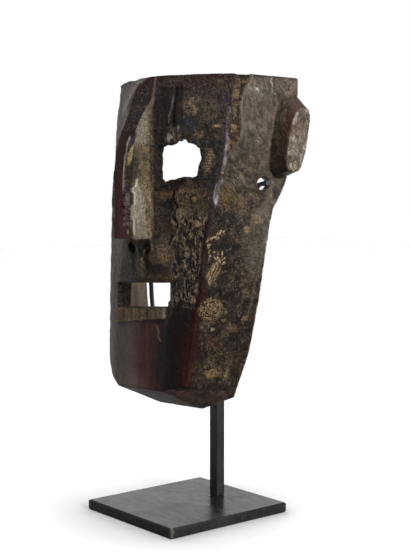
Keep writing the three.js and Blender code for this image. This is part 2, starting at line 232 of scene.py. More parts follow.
# Places that wander a little, so that no mark ends in a clean line.
wander = cloud(7, 101), cloud(7, 102), cloud(2.6, 103), cloud(2.6, 104)
shift = 3.4 * (wander[0] - 0.5) + 1.6 * (wander[2] - 0.5)
xs, ys = x + shift, y + shift
zs = z + 3.4 * (wander[1] - 0.5) + 1.6 * (wander[3] - 0.5)
speckle = spots(0.46, 0.62, 2.3, 111)
blotch = cloud(9, 112)

# The patina and the relief, laid zone by zone. Each coat gives a colour and
# may change how rough, crusty, grained, ochre-specked or netted the wood is.
relief = np.zeros(len(x))
patina = np.zeros((len(x), 3))
rough, crust, grain, hatch, net, runs, waves, flecks = np.zeros((8, len(x)))

SOOT = (25, 24, 24)
DARK = (40, 36, 33)
UMBER = (62, 49, 40)
OCHRE = (172, 146, 104)
YELLOW = (186, 152, 84)
TAN = (150, 122, 94)
PINK = (158, 124, 108)
STONE = (150, 144, 128)
PALE = (208, 198, 180)
HEWN = (186, 165, 147)


def linear(colour):
    c = np.array(colour) / 255
    return np.where(c < 0.04045, c / 12.92, ((c + 0.055) / 1.055) ** 2.4)


def graded(heights, colours):
    """A colour for every point, read off a scale of colours by height."""
    scale = linear(colours)
    return np.column_stack([np.interp(zs, heights, scale[:, channel]) for channel in range(3)])


def lay(colour, amount, **finish):
    """Lays a coat over the wood by an amount from 0 to 1."""
    a = np.clip(amount, 0, 1)
    coat_colour = colour if isinstance(colour, np.ndarray) else linear(colour)
    patina[:] = patina * (1 - a[:, None]) + coat_colour * a[:, None]
    for field, value in finish.items():
        FIELDS[field][:] = FIELDS[field] * (1 - a) + value * a


def mottle(amount, size, seed, upright=1):
    """Makes the wood lighter and darker in lumps of the given size in mm."""
    patina[:] = patina * np.maximum(1 + amount * (2 * cloud(size, seed, 2, upright) - 1), 0.1)[:, None]


FIELDS = {"rough": rough, "crust": crust, "grain": grain, "hatch": hatch,
          "net": net, "runs": runs, "waves": waves, "flecks": flecks}

# Ground coats: dark oiled wood outside, bare hewn wood in the hollow.
lay(DARK, np.ones(len(x)), rough=0.5, crust=0.5, grain=0.3, flecks=0.3)
lay(UMBER, 0.6 * blotch * outer, crust=0.7)
lay(HEWN, hollow, rough=0.8, crust=0.3, grain=1, flecks=0)
lay(UMBER, hollow * 0.4 * spots(0.5, 0.8, 16, 121, 3, 2.5))
lay(STONE, hollow * 0.35 * spots(0.5, 0.8, 5, 124, 2, 8))
steady = 1 - 0.9 * fade(rim_y - y, 2, 9) * ramp(across, 40, 50)
relief += hollow * 0.8 * (cuts(13, 131, 1.7) - 0.4)
relief += outer * steady * (0.35 * (cuts(15, 132, 2) - 0.4) + 0.25 * (cloud(5, 133) - 0.5))

# The sides of the head: grey-brown and dry at the top with fine hatching, and
# dark below, with a pale worn band along the rim and earth in soft clouds.
SIDE_HEIGHTS = (115, 150, 185, 222, 262, 290, 317, 345, 372, 414)
SIDE_TONES = ((33, 23, 19), (28, 19, 16), (27, 19, 16), (36, 26, 23), (50, 41, 37), (78, 68, 58),
              (94, 84, 73), (85, 76, 66), (86, 77, 68), (78, 69, 60))
RIM_GREY, RIM_DULL, RIDGE_SHADE, TOP_GREY = (114, 105, 94), (66, 55, 47), (42, 32, 28), (104, 95, 85)
EARTH, ASH, LOW_RED, DAMP_BLACK = (82, 66, 52), (80, 73, 72), (42, 23, 21), (32, 24, 25)
upper = ramp(z + 0.5 * y, 300, 372)
from_ridge = y + 3 * (wander[0] - 0.5) - ridge_y
from_rim = rim_y - y + 3 * (wander[1] - 0.5)
side_tone = graded(SIDE_HEIGHTS, SIDE_TONES)
lay(side_tone, head_side, rough=0.5, crust=0.55, grain=0.2, net=0.04, hatch=0.2, flecks=0.8)
lay(RIM_GREY, head_side * fade(from_rim, 8, 20) * span(z, 232, 250, 302, 312) * 0.8)
lay(RIM_DULL, head_side * fade(from_rim, 5, 15) * span(z, 190, 196, 228, 238) * 0.5)
lay(RIDGE_SHADE, head_side * fade(from_ridge, 5, 16) * span(z, 270, 284, 300, 312) * 0.85)
lay(TOP_GREY, head_side * ramp(z, 352, 366) * span(y, -10, -6, 14, 22) * 0.6)
lay(EARTH, head_side * spots(0.5, 0.8, 18, 144) * ramp(322 - z, 0, 16) * 0.25, crust=0.9)
lay(ASH, head_side * spots(0.55, 0.85, 8, 155) * 0.3)
lay(LOW_RED, head_side * ramp(212 - z, 0, 20) * 0.45)
lay((76, 60, 48), head_side * spots(0.56, 0.82, 6, 150, 3) * ramp(222 - z, 0, 16) * 0.25, crust=0.9)
lay(DAMP_BLACK, head_side * spots(0.48, 0.76, 10, 145, 3) * (1 - 0.7 * upper) * 0.75, crust=0.4)
mottle(head_side * (0.45 - 0.2 * upper), 9, 141)
mottle(head_side * (0.5 - 0.25 * upper), 4.5, 142)
mottle(head_side * 0.4, 2.7, 143)
lay((150, 128, 104), head_side * (1 - 0.7 * upper) * spots(0.8, 0.95, 2.6, 146) * 0.3, crust=0.8)
lay((126, 112, 96), head_side * upper * spots(0.66, 0.8, 2.6, 147, 1, 7) * 0.4)
lay((30, 23, 22), head_side * fade(rim_y - y, 0.6, 2.4) * (1 - 0.6 * ramp(z, 330, 350)) * 0.8)
hatch[:] = hatch + head_side * (0.35 * ramp(z, 284, 300) + 0.9 * patch(ys, zs, (-12, 318), (12, 20)))
flecks[:] = flecks * (1 - 0.75 * head_side * upper) * (1 - 0.45 * head_side * ramp(200 - z, 0, 20))
rim_band = head_side * fade(from_rim, 12, 22) * span(z, 225, 245, 310, 330)
flecks[:] = flecks * (1 - 0.7 * rim_band)
crust[:] = crust * (1 - 0.5 * rim_band)
grain[:] = grain + head_side * ramp(z, 352, 372) * 0.7
crust[:] = crust - head_side * upper * 0.25
relief += head_side * steady * 0.8 * (cloud(4, 148, 3) - 0.5) * (1 - 0.6 * upper)
relief += head_side * steady * 0.2 * (cloud(2.4, 149, 1, 9) - 0.5)

# The scalloped cut between the ridge and the side, in the upper part.
SCALLOPS = ((-0.8, 413), (-3.5, 407), (-7.7, 401), (-9, 396), (-11.2, 388.8), (-11.6, 383), (-10.7, 377),
            (-9.3, 368), (-10.6, 358), (-18.5, 347.4), (-23.5, 341))
scallop_y = np.interp(z, [p[1] for p in SCALLOPS[::-1]], [p[0] for p in SCALLOPS[::-1]])
BEVEL_BROWN = (44, 29, 26)
bevel = outer * ramp(across, 74, 78) * fade(y, scallop_y - 0.7, scallop_y + 0.7) * ramp(z, 340, 346)
bevel = bevel * ramp(y - ridge_y, -1, 1.5)
lay(BEVEL_BROWN, bevel, rough=0.45, crust=0.7, grain=0, net=0.1, hatch=0)
mottle(bevel * 0.5, 3, 151)
lay(TAN, bevel * spots(0.68, 0.8, 4, 152) * 0.6, crust=1)
relief -= bevel * (1.0 + 0.7 * (cloud(3, 153) - 0.5))
scallop_line = outer * fade(np.abs(y - scallop_y - 0.9), 0.5, 1.5) * ramp(z, 352, 357) * ramp(across, 80, 84)
lay((134, 122, 106), scallop_line * 0.75, rough=0.6)
relief += scallop_line * 0.25

# The ears: a pale dry face, and a dark greasy hollow in front of it, with painted
# shade in the groove by the head and painted highlight streaks near the face.
EAR_FOOT = ((44, 400), (36.9, 400.3), (31.2, 398.5), (27, 392.9), (23.8, 383), (20.8, 361.6), (19.3, 340.2),
            (20.4, 330.3), (23.4, 324.7), (28.8, 322.9))
foot_y = np.interp(z, [p[1] for p in EAR_FOOT[:0:-1]], [p[0] for p in EAR_FOOT[:0:-1]])
EAR_BROWN, EAR_GROOVE_SHADE, EAR_GREY, EAR_RIM_BROWN = (60, 43, 36), (20, 15, 14), (122, 110, 98), (74, 46, 37)
ear_front = outer * ramp(y, foot_y - 0.5, foot_y + 1) * span(z, 321, 324, 399, 402) * ramp(across, 88, 92)
ear_front = ear_front * (1 - ear_face) * fade(y, 40, 44)
towards_face = across + 0.35 * y + 0.8 * (wander[0] - 0.5)
lay(EAR_BROWN, ear_front, rough=0.42, crust=0.15, grain=0.2, net=0, hatch=0, flecks=0.1)
# Painted highlight: light streaks on the hollow near the ear's face.
ear_highlight_streaks = spots(0.5, 0.75, 2.6, 167, 2, 7)
lay((104, 72, 56), ear_front * ramp(towards_face, 116.5, 118.5) * ear_highlight_streaks * 0.7)
# Painted shade: near black in the groove between the head and the ear.
lay(EAR_GROOVE_SHADE, ear_front * fade(towards_face, 115, 118) * 0.93, crust=0.3)
lay((50, 26, 21), ear_front * ramp(towards_face, 121, 123) * 0.85)
lay((134, 108, 80), ear_front * ramp(z + 4 * wander[0], 392, 400) * spots(0.4, 0.6, 3, 168) * 0.6, crust=0.9)
lay((52, 36, 30), ear_front * ramp(z + 0.6 * y, 404, 412) * ramp(across, 104, 107) * 0.8)
ear_foot = stroke(ys, zs, EAR_FOOT, 2.6) * outer * ramp(across, 90, 94)
lay((112, 96, 78), ear_foot * (0.3 + 0.4 * spots(0.4, 0.6, 5, 165)), crust=0.5, rough=0.7, net=0, hatch=0)
lay(EAR_GREY, ear_face, rough=0.7, crust=0.6, grain=0.3, net=0.15, hatch=0, flecks=0.4)
mottle(ear_face * 0.35, 6, 166)
lay((80, 66, 55), ear_face * spots(0.55, 0.72, 3.4, 162, 3, 1.6) * 0.7, crust=0.7)
lay((186, 176, 162), ear_face * spots(0.62, 0.8, 3, 163, 2, 1.8) * 0.7)
ear_rim = ear * ramp(across, 110, 113) * ramp(0.93 - outwards, 0, 0.1) * (1 - 0.7 * ear_face)
lay(EAR_RIM_BROWN, ear_rim * 0.85, rough=0.4, crust=0.4)
relief += ear_face * 0.6 * (cloud(2.8, 164) - 0.5)

# The brow: black-brown, with pale edges where long cuts run down it.
BROW_BROWN, BROW_SPLINTER, RECESS_BLACK = (58, 49, 43), (92, 78, 62), (35, 30, 28)
brow = cheek * ramp(z, 352, 358)
lay(BROW_BROWN, brow, rough=0.45, crust=0.8, grain=0.2, flecks=0.5)
mottle(brow * 0.4, 7, 174)
lay((72, 57, 54), brow * ramp(z, 386, 404) * spots(0.5, 0.68, 4.5, 171) * 0.6)
lay(SOOT, brow * fade(across, valley + 9, valley + 15) * 0.85, rough=0.4, crust=0.5, flecks=0.15)
lay(BROW_SPLINTER, brow * ramp(across, 54, 64) * spots(0.55, 0.72, 6, 172, 3) * 0.6, crust=1)
lay((74, 46, 42), brow * spots(0.66, 0.78, 3, 175) * 0.5)
relief += brow * 0.6 * (cloud(3.4, 173, 3) - 0.5)
lay((70, 48, 42), brow * ramp(zs, 402, 405) * (0.4 + 0.6 * speckle) * 0.8)
recess_to = 41 + 0.18 * (404 - z)
recess = brow * span(x, 20, 22, recess_to, recess_to + 1.5) * span(z, 366, 370, 403, 405)
lay(RECESS_BLACK, recess * 0.93, rough=0.42, crust=0.15, grain=0.9, flecks=0.05)
lay((64, 54, 48), recess * spots(0.6, 0.75, 2.6, 176, 1, 14) * 0.5)
relief -= recess * (0.5 + 0.5 * cloud(2.6, 176, 1, 14))

# The cheek and the lower face: brown crust by the nose, tar below the eye,
# sooty black beside the mouth and a smooth red-brown chin.
CRUST_BROWN, TAR, TAR_EDGE, CHIN_BROWN = (60, 49, 41), (31, 24, 22), (92, 76, 64), (80, 42, 36)
CHIN_SHEEN_GREY, SMOKE, RED_WOOD, BRUSHED_GREY = (132, 110, 101), (29, 22, 21), (43, 10, 4), (106, 94, 88)
low_face = face * ramp(316 - z, 0, 5) * (1 - nose_front) * (1 - flank)
lay(CRUST_BROWN, low_face, rough=0.45, crust=0.8, grain=0.2, flecks=0.6)
mottle(low_face * 0.4, 7, 185)
eye_side = cheek * ramp(across, 60, 64) * span(z, 300, 306, 354, 360)
lay((44, 41, 37), eye_side * 0.85, crust=1, rough=0.42)
lay((142, 120, 88), low_face * span(across, 12, 18, 35, 39) * span(z, 240, 248, 258, 266) * 0.75, crust=1)
tar = face * ramp(across, 38, 44) * span(z, 188, 206, 286, 302)
lay(TAR, tar * 0.93, rough=0.34, crust=0.5, runs=1, flecks=0.5)
lay(TAR_EDGE, tar * spots(0.62, 0.74, 2.8, 182, 2, 4) * 0.6, rough=0.5)
relief += tar * 0.9 * (cloud(3.1, 182, 2, 3.2) - 0.5)
mesh_zone = cheek * patch(xs, zs, (58, 302), (14, 14), 0, 0.4) * (1 - ridge)
lay((52, 44, 36), mesh_zone * 0.6, runs=0.5, net=0.5)
greasy = cheek * patch(xs, zs, (65, 303), (5.5, 16), -4, 0.4)
lay((44, 35, 34), greasy * 0.85, rough=0.4, crust=0.5, flecks=0.12, net=0.1, runs=0.2)
lay((54, 44, 36), cheek * patch(xs, zs, (54, 303), (9, 9), 0, 0.4) * 0.6, flecks=0.2)
chin = face * ramp(190 - z, -1, 3)
lay(CHIN_BROWN, chin, rough=0.45, crust=0.15, grain=0.8, flecks=0.08)
# Painted sheen: the chin turns grey towards its left edge.
lay(CHIN_SHEEN_GREY, chin * ramp(-x + 6 * (wander[0] - 0.5), -8, 30) * 0.88)
lay((62, 28, 24), chin * ramp(xs, 12, 26) * 0.6)
lay((104, 72, 64), chin * 0.4 * spots(0.5, 0.8, 4, 184, 2, 7))
mottle(chin * 0.14, 9, 188, 2)
# Painted highlight: lighter at the chin's lower left.
lay((160, 136, 126), chin * ramp(152 - z, 0, 24) * ramp(24 - x, 0, 40) * 0.6)
soot_from = along((124, 150, 170, 190, 214), (28, 18, 20, 30, 40)) + 8 * (blotch - 0.5)
soot = face * ramp(xs, soot_from, soot_from + 13) * ramp(214 - zs, 0, 12)
lay(SMOKE, soot * 0.95, rough=0.4, crust=0.2, grain=0.6, runs=0, flecks=0.06)
RED_FROM = ((124, 146, 162, 178, 191, 203, 215, 222, 230, 300),
            (54, 54, 54.5, 56, 58.6, 61.4, 63.6, 66, 70.5, 77))
red_from = along(*RED_FROM) + 2.4 * (wander[0] - 0.5)
narrowing = ramp(z, 215, 232)
red_full = red_from + 3 - 2 * narrowing
red_side = outer * ramp(across + 2 * (blotch - 0.5), red_from - 3 * ramp(200 - z, 0, 20), red_full)
red_side = red_side * fade(ys, ridge_y + 3, ridge_y + 10 - 7 * narrowing) * span(z, 124, 128, 286, 300)
lay(RED_WOOD, red_side * 0.96, rough=0.6, crust=0.2, grain=0.3, runs=0.05, net=0, hatch=0, flecks=0.06)
lay((76, 38, 16), red_side * ramp(160 - zs, 0, 30) * spots(0.4, 0.7, 6, 189, 2, 2) * 0.5)
red_line = outer * fade(ridge_gap, 1.8, 3.8) * span(z, 214, 224, 292, 306)
lay((36, 13, 11), red_line * 0.9, rough=0.45, crust=0.3, runs=0, flecks=0.1)
brushed = low_face * ramp(-x, 8, 22)
lay(BRUSHED_GREY, brushed * 0.8, rough=0.5, crust=0.15, grain=0.9, flecks=0)
# Painted shade on the underside of the nose.
under_nose = outer * ramp(-facing[:, 2], 0.3, 0.5) * ramp(26 - across, 0, 2) * span(z, 250, 254, 269, 272)
lay((34, 22, 20), under_nose, rough=0.5, crust=0.3)

# The mouth: a crusty lip, a row of dry teeth with ochre earth at their foot,
# and dark walls in the opening.
TOOTH_TAN, LIP_BROWN, MOUTH_BROWN = (134, 112, 91), (84, 58, 42), (46, 39, 34)
teeth_foot = 185.4 + 0.13 * (x + 38.8)
teeth = outer * ramp(-y, 46, 50) * span(x, -40.5, -39, 35, 36.5)
teeth = teeth * ramp(z, teeth_foot - 0.5, teeth_foot + 0.8) * ramp(teeth_foot + 18 - z, 0, 2)
lay(TOOTH_TAN, teeth, rough=0.55, crust=0.5, grain=1, runs=0, flecks=0.3)
lay((112, 86, 56), teeth * ramp(-12 - x, 0, 14) * 0.6)
lay((122, 110, 90), teeth * ramp(x, 33, 38) * 0.7)
lay(OCHRE, teeth * fade(z, teeth_foot + 1.5, teeth_foot + 3) * 0.5, crust=0.9)
lay(OCHRE, teeth * spots(0.62, 0.75, 3, 191, 2, 6) * 0.35)
lip = face * (across < 42) * span(z, 224, 226, 237, 240)
lay(LIP_BROWN, lip * ramp(x, -2, 8) * 0.85, rough=0.5, crust=1)
mouth_end = ramp(facing[:, 0], 0.5, 0.7) * ramp(-30 - x, 0, 2) * span(across, 30, 36, 48, 50)
mouth_end = mouth_end * span(z, 198, 202, 225, 228) * ramp(y, -58, -54)
lay((98, 85, 71), mouth_end * 0.95, rough=0.6, crust=1, grain=0.2, flecks=0.6)
mouth_wall = outer * (across < 46) * ramp(np.abs(facing[:, 2]), 0.5, 0.7) * span(z, 198, 202, 228, 230)
lay(MOUTH_BROWN, mouth_wall, rough=0.6, crust=0.6)

# The nose: a smooth greasy bridge whose edge towards the light is eaten
# away, a dry pale flank and an ochre-filled valley beside it.
NOSE_BROWN, NOSE_RED, NOSE_GREASE, BAND_BROWN = (72, 36, 30), (96, 34, 22), (64, 50, 47), (41, 20, 18)
BROW_REFLECTION_GREY, BROW_SHINE, FLANK_DUN, FLANK_PALE = (102, 91, 86), (186, 178, 172), (106, 91, 70), (164, 154, 140)
lay(NOSE_BROWN, nose_front, rough=0.38, crust=0.12, grain=0.4, flecks=0.05)
lay(NOSE_RED, nose_front * ramp(x, -11, -2) * ramp(350 - z, 0, 50) * 0.8)
lay(NOSE_GREASE, nose_front * ramp(-x, 5, 10) * 0.6, rough=0.55)
band = face * ramp(z, 352, 362) * fade(x, valley - 1, valley + 0.5) * (x > -60)
BROW_EDGE = ((340, 372, 379, 389, 397, 404, 409.5, 420), (-60, -49, -40.2, -33.8, -26.8, -19.5, -7.5, 10))
brow_edge = along(*BROW_EDGE)
lay(BAND_BROWN, band * ramp(xs, brow_edge - 1, brow_edge + 1), rough=0.42, crust=0.4, flecks=0.8)
red_band = band * span(xs, brow_edge - 1, brow_edge + 1, brow_edge + 8, brow_edge + 16)
lay((72, 27, 21), red_band * 0.6, crust=0.3)
# Painted reflection: the upper left of the forehead, turned away to the left, is painted light grey.
brow_reflection = face * fade(xs, brow_edge - 1.5, brow_edge + 0.5) * ramp(z, 352, 362) * (x < 12)
lay(BROW_REFLECTION_GREY, brow_reflection, rough=0.5, crust=0.15, grain=0.5, flecks=0)
mottle(brow_reflection * 0.25, 9, 206)
for gap, width, amount in ((3.5, 1.2, 0.9), (10, 1.4, 0.9), (17, 1.6, 0.6)):
    long_cut = fade(np.abs(xs - brow_edge + gap + 0.12 * (z - 396)), width * 0.4, width)
    lay(BROW_SHINE, brow_reflection * long_cut * ramp(z, 378, 388) * amount, rough=0.4)
lay(FLANK_DUN, flank, rough=0.6, crust=0.6, grain=0.5, flecks=0.5)
mottle(flank * 0.4, 4, 202)
lay((148, 139, 124), flank * ramp(zs, 346, 362) * fade(ys, -62, -54) * 0.85, crust=0.6, net=0.12)
lay((56, 46, 42), flank * fade(ys, -70, -66) * span(zs, 318, 326, 342, 350) * 0.8)
PALE_FROM = ((262, 270, 285, 294, 299, 308, 311, 313, 315.5, 321),
             (-73.8, -74.1, -74.8, -77, -74.3, -73.6, -74.8, -75.4, -72.3, -70.6))
PALE_TO = ((262, 269, 280, 288, 299, 306.5, 313.7, 319, 322),
           (-60, -60.5, -61.7, -62.9, -63.3, -64.6, -67.2, -69.7, -71))
pale_from, pale_to = along(*PALE_FROM), along(*PALE_TO) + 2 * (wander[2] - 0.5)
pale = flank * span(y, pale_from - 0.5, pale_from + 0.5, pale_to - 0.8, pale_to + 0.8) * fade(z, 320, 323)
lay(FLANK_PALE, pale * 0.92, rough=0.65, crust=0.65, grain=0.9, net=0.25, flecks=0)
lay((176, 168, 152), pale * span(z, 280, 283, 292, 296) * spots(0.5, 0.62, 2.4, 207) * 0.7)
lay((104, 94, 83), pale * ramp(z, 280, 283) * spots(0.6, 0.8, 2.4, 208, 2, 0.6) * 0.5)
lay((122, 115, 101), pale * fade(z, 281, 284) * 0.9, crust=0.3, flecks=0, waves=0.1)
behind_pale = flank * ramp(y, pale_to, pale_to + 1) * ramp(330 - zs, 0, 20)
lay((136, 117, 91), behind_pale * 0.8, crust=0.75, grain=1.8)
lay((118, 90, 62), flank * fade(np.abs(y - pale_to - 0.6), 0.3, 1) * ramp(300 - zs, 0, 10) * 0.6)
lay((146, 134, 108), flank * fade(np.abs(y - pale_to - 5), 0.3, 0.9) * ramp(316 - zs, 0, 10) * 0.5)
pale_edge = seen * over_lip * fade(np.abs(y - np.maximum(pale_from, -75.3) - 0.3), 0.4, 1.2)
pale_edge = pale_edge * span(across, 10.5, 12, 19, 20) * span(z, 270, 274, 319, 324)
lay((226, 214, 196), pale_edge * 0.85, rough=0.4, crust=0.2)
# Painted highlight: a pale line along the edge between the nose's front and its flank.
contour_highlight = face * fade(np.abs(x - nose_edge - 0.6), 0.4, 1.2) * span(z, 350, 356, 380, 388)
lay((180, 170, 154), contour_highlight * 0.6, rough=0.5, crust=0.3)
valley_line = outer * fade(np.abs(across - valley + 0.4), 0.4, 1.4) * ramp(z, 262, 266) * ramp(-y, 40, 44)
lay((112, 88, 66), valley_line * 0.5 * spots(0.5, 0.7, 5, 203, 2, 3), rough=0.7, crust=0.8)
lay((138, 108, 88), valley_line * ramp(z, 386, 390) * 0.5)
relief += flank * 0.5 * (cloud(2.8, 204) - 0.5)

# The strip on the bridge of the nose that insects have eaten, with a row of
# small arcs across its lower part.
STRIP_LEFT = ((262, 275, 290, 324, 338, 361, 368), (4.5, 3, 1.5, 1.2, 0.8, 3.2, 5))
strip_left = along(*STRIP_LEFT)
EATEN_BROWN, SAPWOOD, ARC_PINK, STRIP_SHINE = (84, 72, 56), (240, 214, 160), (190, 156, 146), (236, 220, 214)
strip = nose_front * ramp(x, strip_left - 0.5, strip_left + 0.5) * span(z, 279, 283, 360, 366)
lay(EATEN_BROWN, strip, rough=0.5, crust=0.8, grain=0.2, net=0)
lay((84, 76, 88), strip * ramp(z, 351, 354) * 0.9, rough=0.4, crust=0.3)
lay(SAPWOOD, patch(x, zs, (8.8, 344.5), (3.8, 10), -24, 0.2) * strip, rough=0.7, crust=0.8, flecks=0)
lay((104, 92, 72), strip * patch(xs, zs, (7, 324), (4, 9)) * 0.8, crust=0.9)
lay((102, 88, 96), strip * patch(xs, zs, (6.5, 315.5), (4, 4.5)) * 0.8)
lay(YELLOW, strip * patch(xs, zs, (7.5, 308.7), (4, 1.3)) * 0.7)
lay((178, 168, 164), strip * patch(xs, zs, (6, 301.5), (5, 6.5)) * 0.85, rough=0.35, waves=0.8)
lay((62, 34, 32), strip * fade(z, 296, 299) * 0.85, rough=0.35, waves=0)
ARCS = ((295.6, 2.4), (292, 1.6), (288.4, 2.2), (285.4, 1), (282.6, 1.6), (280.2, 0.6))
for level, tilt in ARCS:
    arc = stroke(x, z, ((1.5, level - tilt), (6, level + 0.6), (12, level - 0.6 * tilt)), 0.95) * nose_front
    lay(ARC_PINK, arc * 0.85, rough=0.35)
    relief += 0.3 * arc
strip_line = nose_front * fade(np.abs(x - strip_left), 0.4, 1.05) * span(z, 306, 316, 359, 362)
lay(STRIP_SHINE, strip_line * 0.85, rough=0.4)
lay(PALE, patch(x, z, (8.3, 273.7), (1.5, 2.2)) * nose_front * 0.8)
relief -= strip * (0.9 - 0.7 * (cloud(3, 212) - 0.5))

# The worn ridge between face and side: a grey polish above with a thin painted
# highlight along it, and one wide spot below the eye where it is worn flat, with
# a painted highlight at its foot.
RIDGE_GREY, RIDGE_SHINE, RUBBED_GREY = (60, 49, 49), (158, 148, 148), (92, 86, 90)
ridge_worn = ridge * ramp(z, 280, 296)
lay(RIDGE_GREY, ridge_worn * 0.85, rough=0.38, crust=0.5)
THIN_LINE = ((82.8, 384.4), (85, 385.4), (85.6, 383), (84, 376), (83.8, 367), (85, 356), (84, 345),
             (82.6, 332), (82, 327))
thin_highlight = stroke(across + 0.6 * (wander[0] - 0.5), z, THIN_LINE, 1.0)
lay(RIDGE_SHINE, ridge * thin_highlight * (0.3 + 0.7 * spots(0.35, 0.6, 5, 221)) * 0.95, rough=0.35, crust=0.2)
wide_spot = seen * patch(x, z, (80.3, 310), (2.9, 12), -8, 0.25) * ramp(ridge_y + 3.4 - y, -1.4, 1.4)
lay(RUBBED_GREY, wide_spot * 0.95, rough=0.42, crust=0.3)
rubbed_edge = stroke(x, z, ((79.4, 322), (77.6, 312), (77.6, 304), (79.2, 298)), 0.8)
rubbed_edge = rubbed_edge + stroke(x, z, ((82, 321), (82.4, 310), (80.4, 300)), 0.7)
lay((206, 198, 194), rubbed_edge * wide_spot * 0.7)
# Painted highlight on the lower part of the wide spot.
lay((190, 188, 192), wide_spot * patch(x, z, (79.3, 302), (1.3, 6), -8) * 0.8)
relief -= ridge * 0.5 * spots(0.5, 0.75, 9, 222, 2, 2)

# Marks on the face: colour, how strong, how far proud in mm, centre (x, z),
# radii, turn, and how much the mark is broken up into specks.
FACE_MARKS = (
    ((144, 121, 100), 0.8, 0.2, (52, 388), (8, 8.5), 20, 0.9),
    ((148, 122, 94), 0.8, 0.3, (55.4, 380), (1.8, 2.6), 0, 0),
    ((54, 54, 58), 0.9, 0.3, (51.5, 371.5), (9, 7.4), -25, 0.1),
    ((68, 76, 84), 0.35, 0, (57, 368), (1.2, 4), -20, 0.2),
    # Painted glint on the blue-black patch.
    ((196, 204, 214), 0.9, 0, (46.6, 377), (0.9, 0.9), 0, 0),
    ((168, 138, 108), 0.8, 0.3, (75, 369), (3.4, 1.7), -20, 0),
    ((74, 66, 74), 0.75, 0, (80.6, 391), (3.2, 7), -25, 0.1),
    ((104, 90, 74), 0.6, 0, (69, 384), (8, 10), 30, 0.6),
    (TAN, 0.6, 0, (60, 360), (6, 4), 30, 0.9),
    (PINK, 0.7, 0.2, (33, 357.8), (2.8, 1.7), 0, 0.2),
    (PALE, 0.8, 0.2, (37.6, 359.4), (2, 1.5), 0, 0.2),
    ((96, 80, 64), 0.6, 0.2, (70.3, 338), (5.4, 12), -6, 0.6),
    # Painted shadow: a dark band under the lower lid of the eye.
    ((30, 23, 20), 0.92, -0.3, (46, 315.5), (22, 6.5), 4, 0),
    ((96, 70, 50), 0.7, 0, (56.5, 319), (4, 3), 0, 0.5),
    ((112, 84, 62), 0.8, 0.2, (34, 307.6), (9, 4.2), 3, 0.5),
    ((24, 21, 22), 0.93, -0.4, (38.4, 298), (5.6, 7.6), 10, 0),
    # Painted glints in the black hollow below the eye.
    ((56, 62, 62), 0.7, 0, (36.2, 299.4), (1.2, 2), 20, 0),
    ((140, 144, 148), 0.7, 0, (38.6, 293.2), (1, 0.7), 0, 0),
    ((40, 33, 32), 0.85, 0.2, (61.3, 294), (4.6, 8), 20, 0),
    ((140, 122, 90), 0.85, 0.3, (48.6, 291.4), (3, 5.4), 10, 0.3),
    ((72, 60, 55), 0.7, 0, (29.5, 281), (7, 16), 4, 0),
    ((116, 98, 78), 0.75, 0.2, (34, 256), (10, 14), 0, 0.4),
    ((108, 90, 68), 0.7, 0.2, (24, 254), (9, 9), 0, 0.5),
    ((140, 114, 84), 0.7, 0.3, (32.6, 256.3), (3.4, 3.2), 0, 0.5),
    ((134, 98, 62), 0.8, 0.2, (32.6, 250.4), (3.6, 2.6), 0, 0.3),
    ((58, 46, 44), 0.85, 0, (26, 240.5), (12, 3.8), 0, 0),
    ((130, 92, 62), 0.7, 0.2, (27, 232.5), (13, 2.2), 0, 0.6),
    ((102, 92, 85), 0.8, 0, (-15, 241), (10, 20), 0, 0),
    ((34, 27, 26), 0.9, -0.4, (-5, 250), (8, 14), 0, 0),
    ((22, 14, 16), 0.95, -0.8, (-12, 258.5), (6, 3.6), 0, 0),
    ((38, 32, 28), 0.9, 0, (8, 260.5), (10, 3), 0, 0),
    ((16, 15, 15), 0.95, -0.8, (15, 260.5), (3.6, 5), 0, 0),
)
for colour, amount, height, centre, radii, turn, broken in FACE_MARKS:
    shape = patch(xs, zs, centre, radii, turn) * (on_front if centre[0] > 0 else outer) * (1 - nose_front)
    lay(colour, amount * shape * (1 - broken * (1 - speckle)), crust=0.7 * (amount < 0.9))
    relief += height * shape

# Knots and galls in the crust below the eye, each in a dark ring, the first
# and largest with a ring of specks: colour, centre (x, z), radii and turn.
KNOTS = (
    ((60, 49, 37), (49.1, 305.7), (6.8, 6.8), 0),
    ((128, 108, 78), (60.4, 303.6), (2.8, 2.2), 10),
    ((150, 124, 90), (63.5, 282.1), (4.8, 2.8), -14),
    ((118, 104, 74), (58.6, 270.6), (2.9, 2.9), 0),
    ((128, 110, 80), (67.3, 274.1), (2.2, 1.8), 0),
    ((120, 102, 76), (57.1, 284), (1.9, 1.6), 0),
    ((96, 76, 56), (43.2, 279.6), (3, 5), 20),
)
for colour, centre, radii, turn in KNOTS:
    u, v = x + 0.4 * (xs - x), z + 0.4 * (zs - z)
    knot = patch(u, v, centre, radii, turn, 0.15) * on_front
    around = patch(u, v, centre, (radii[0] + 1.6, radii[1] + 1.6), turn, 0.15) * on_front - knot
    lay((22, 17, 15), around * 0.9, flecks=0)
    lay(colour, knot * 0.95, crust=1.2, flecks=0, net=0.2 * (radii[0] > 6))
    relief += 0.5 * knot - 0.3 * around
RING_AT, RING_RADIUS = KNOTS[0][1], 5.4
ring = seen * fade(np.abs(np.hypot(x - RING_AT[0], z - RING_AT[1]) - RING_RADIUS), 0.3, 1) * speckle
lay((140, 120, 90), ring * 0.7)

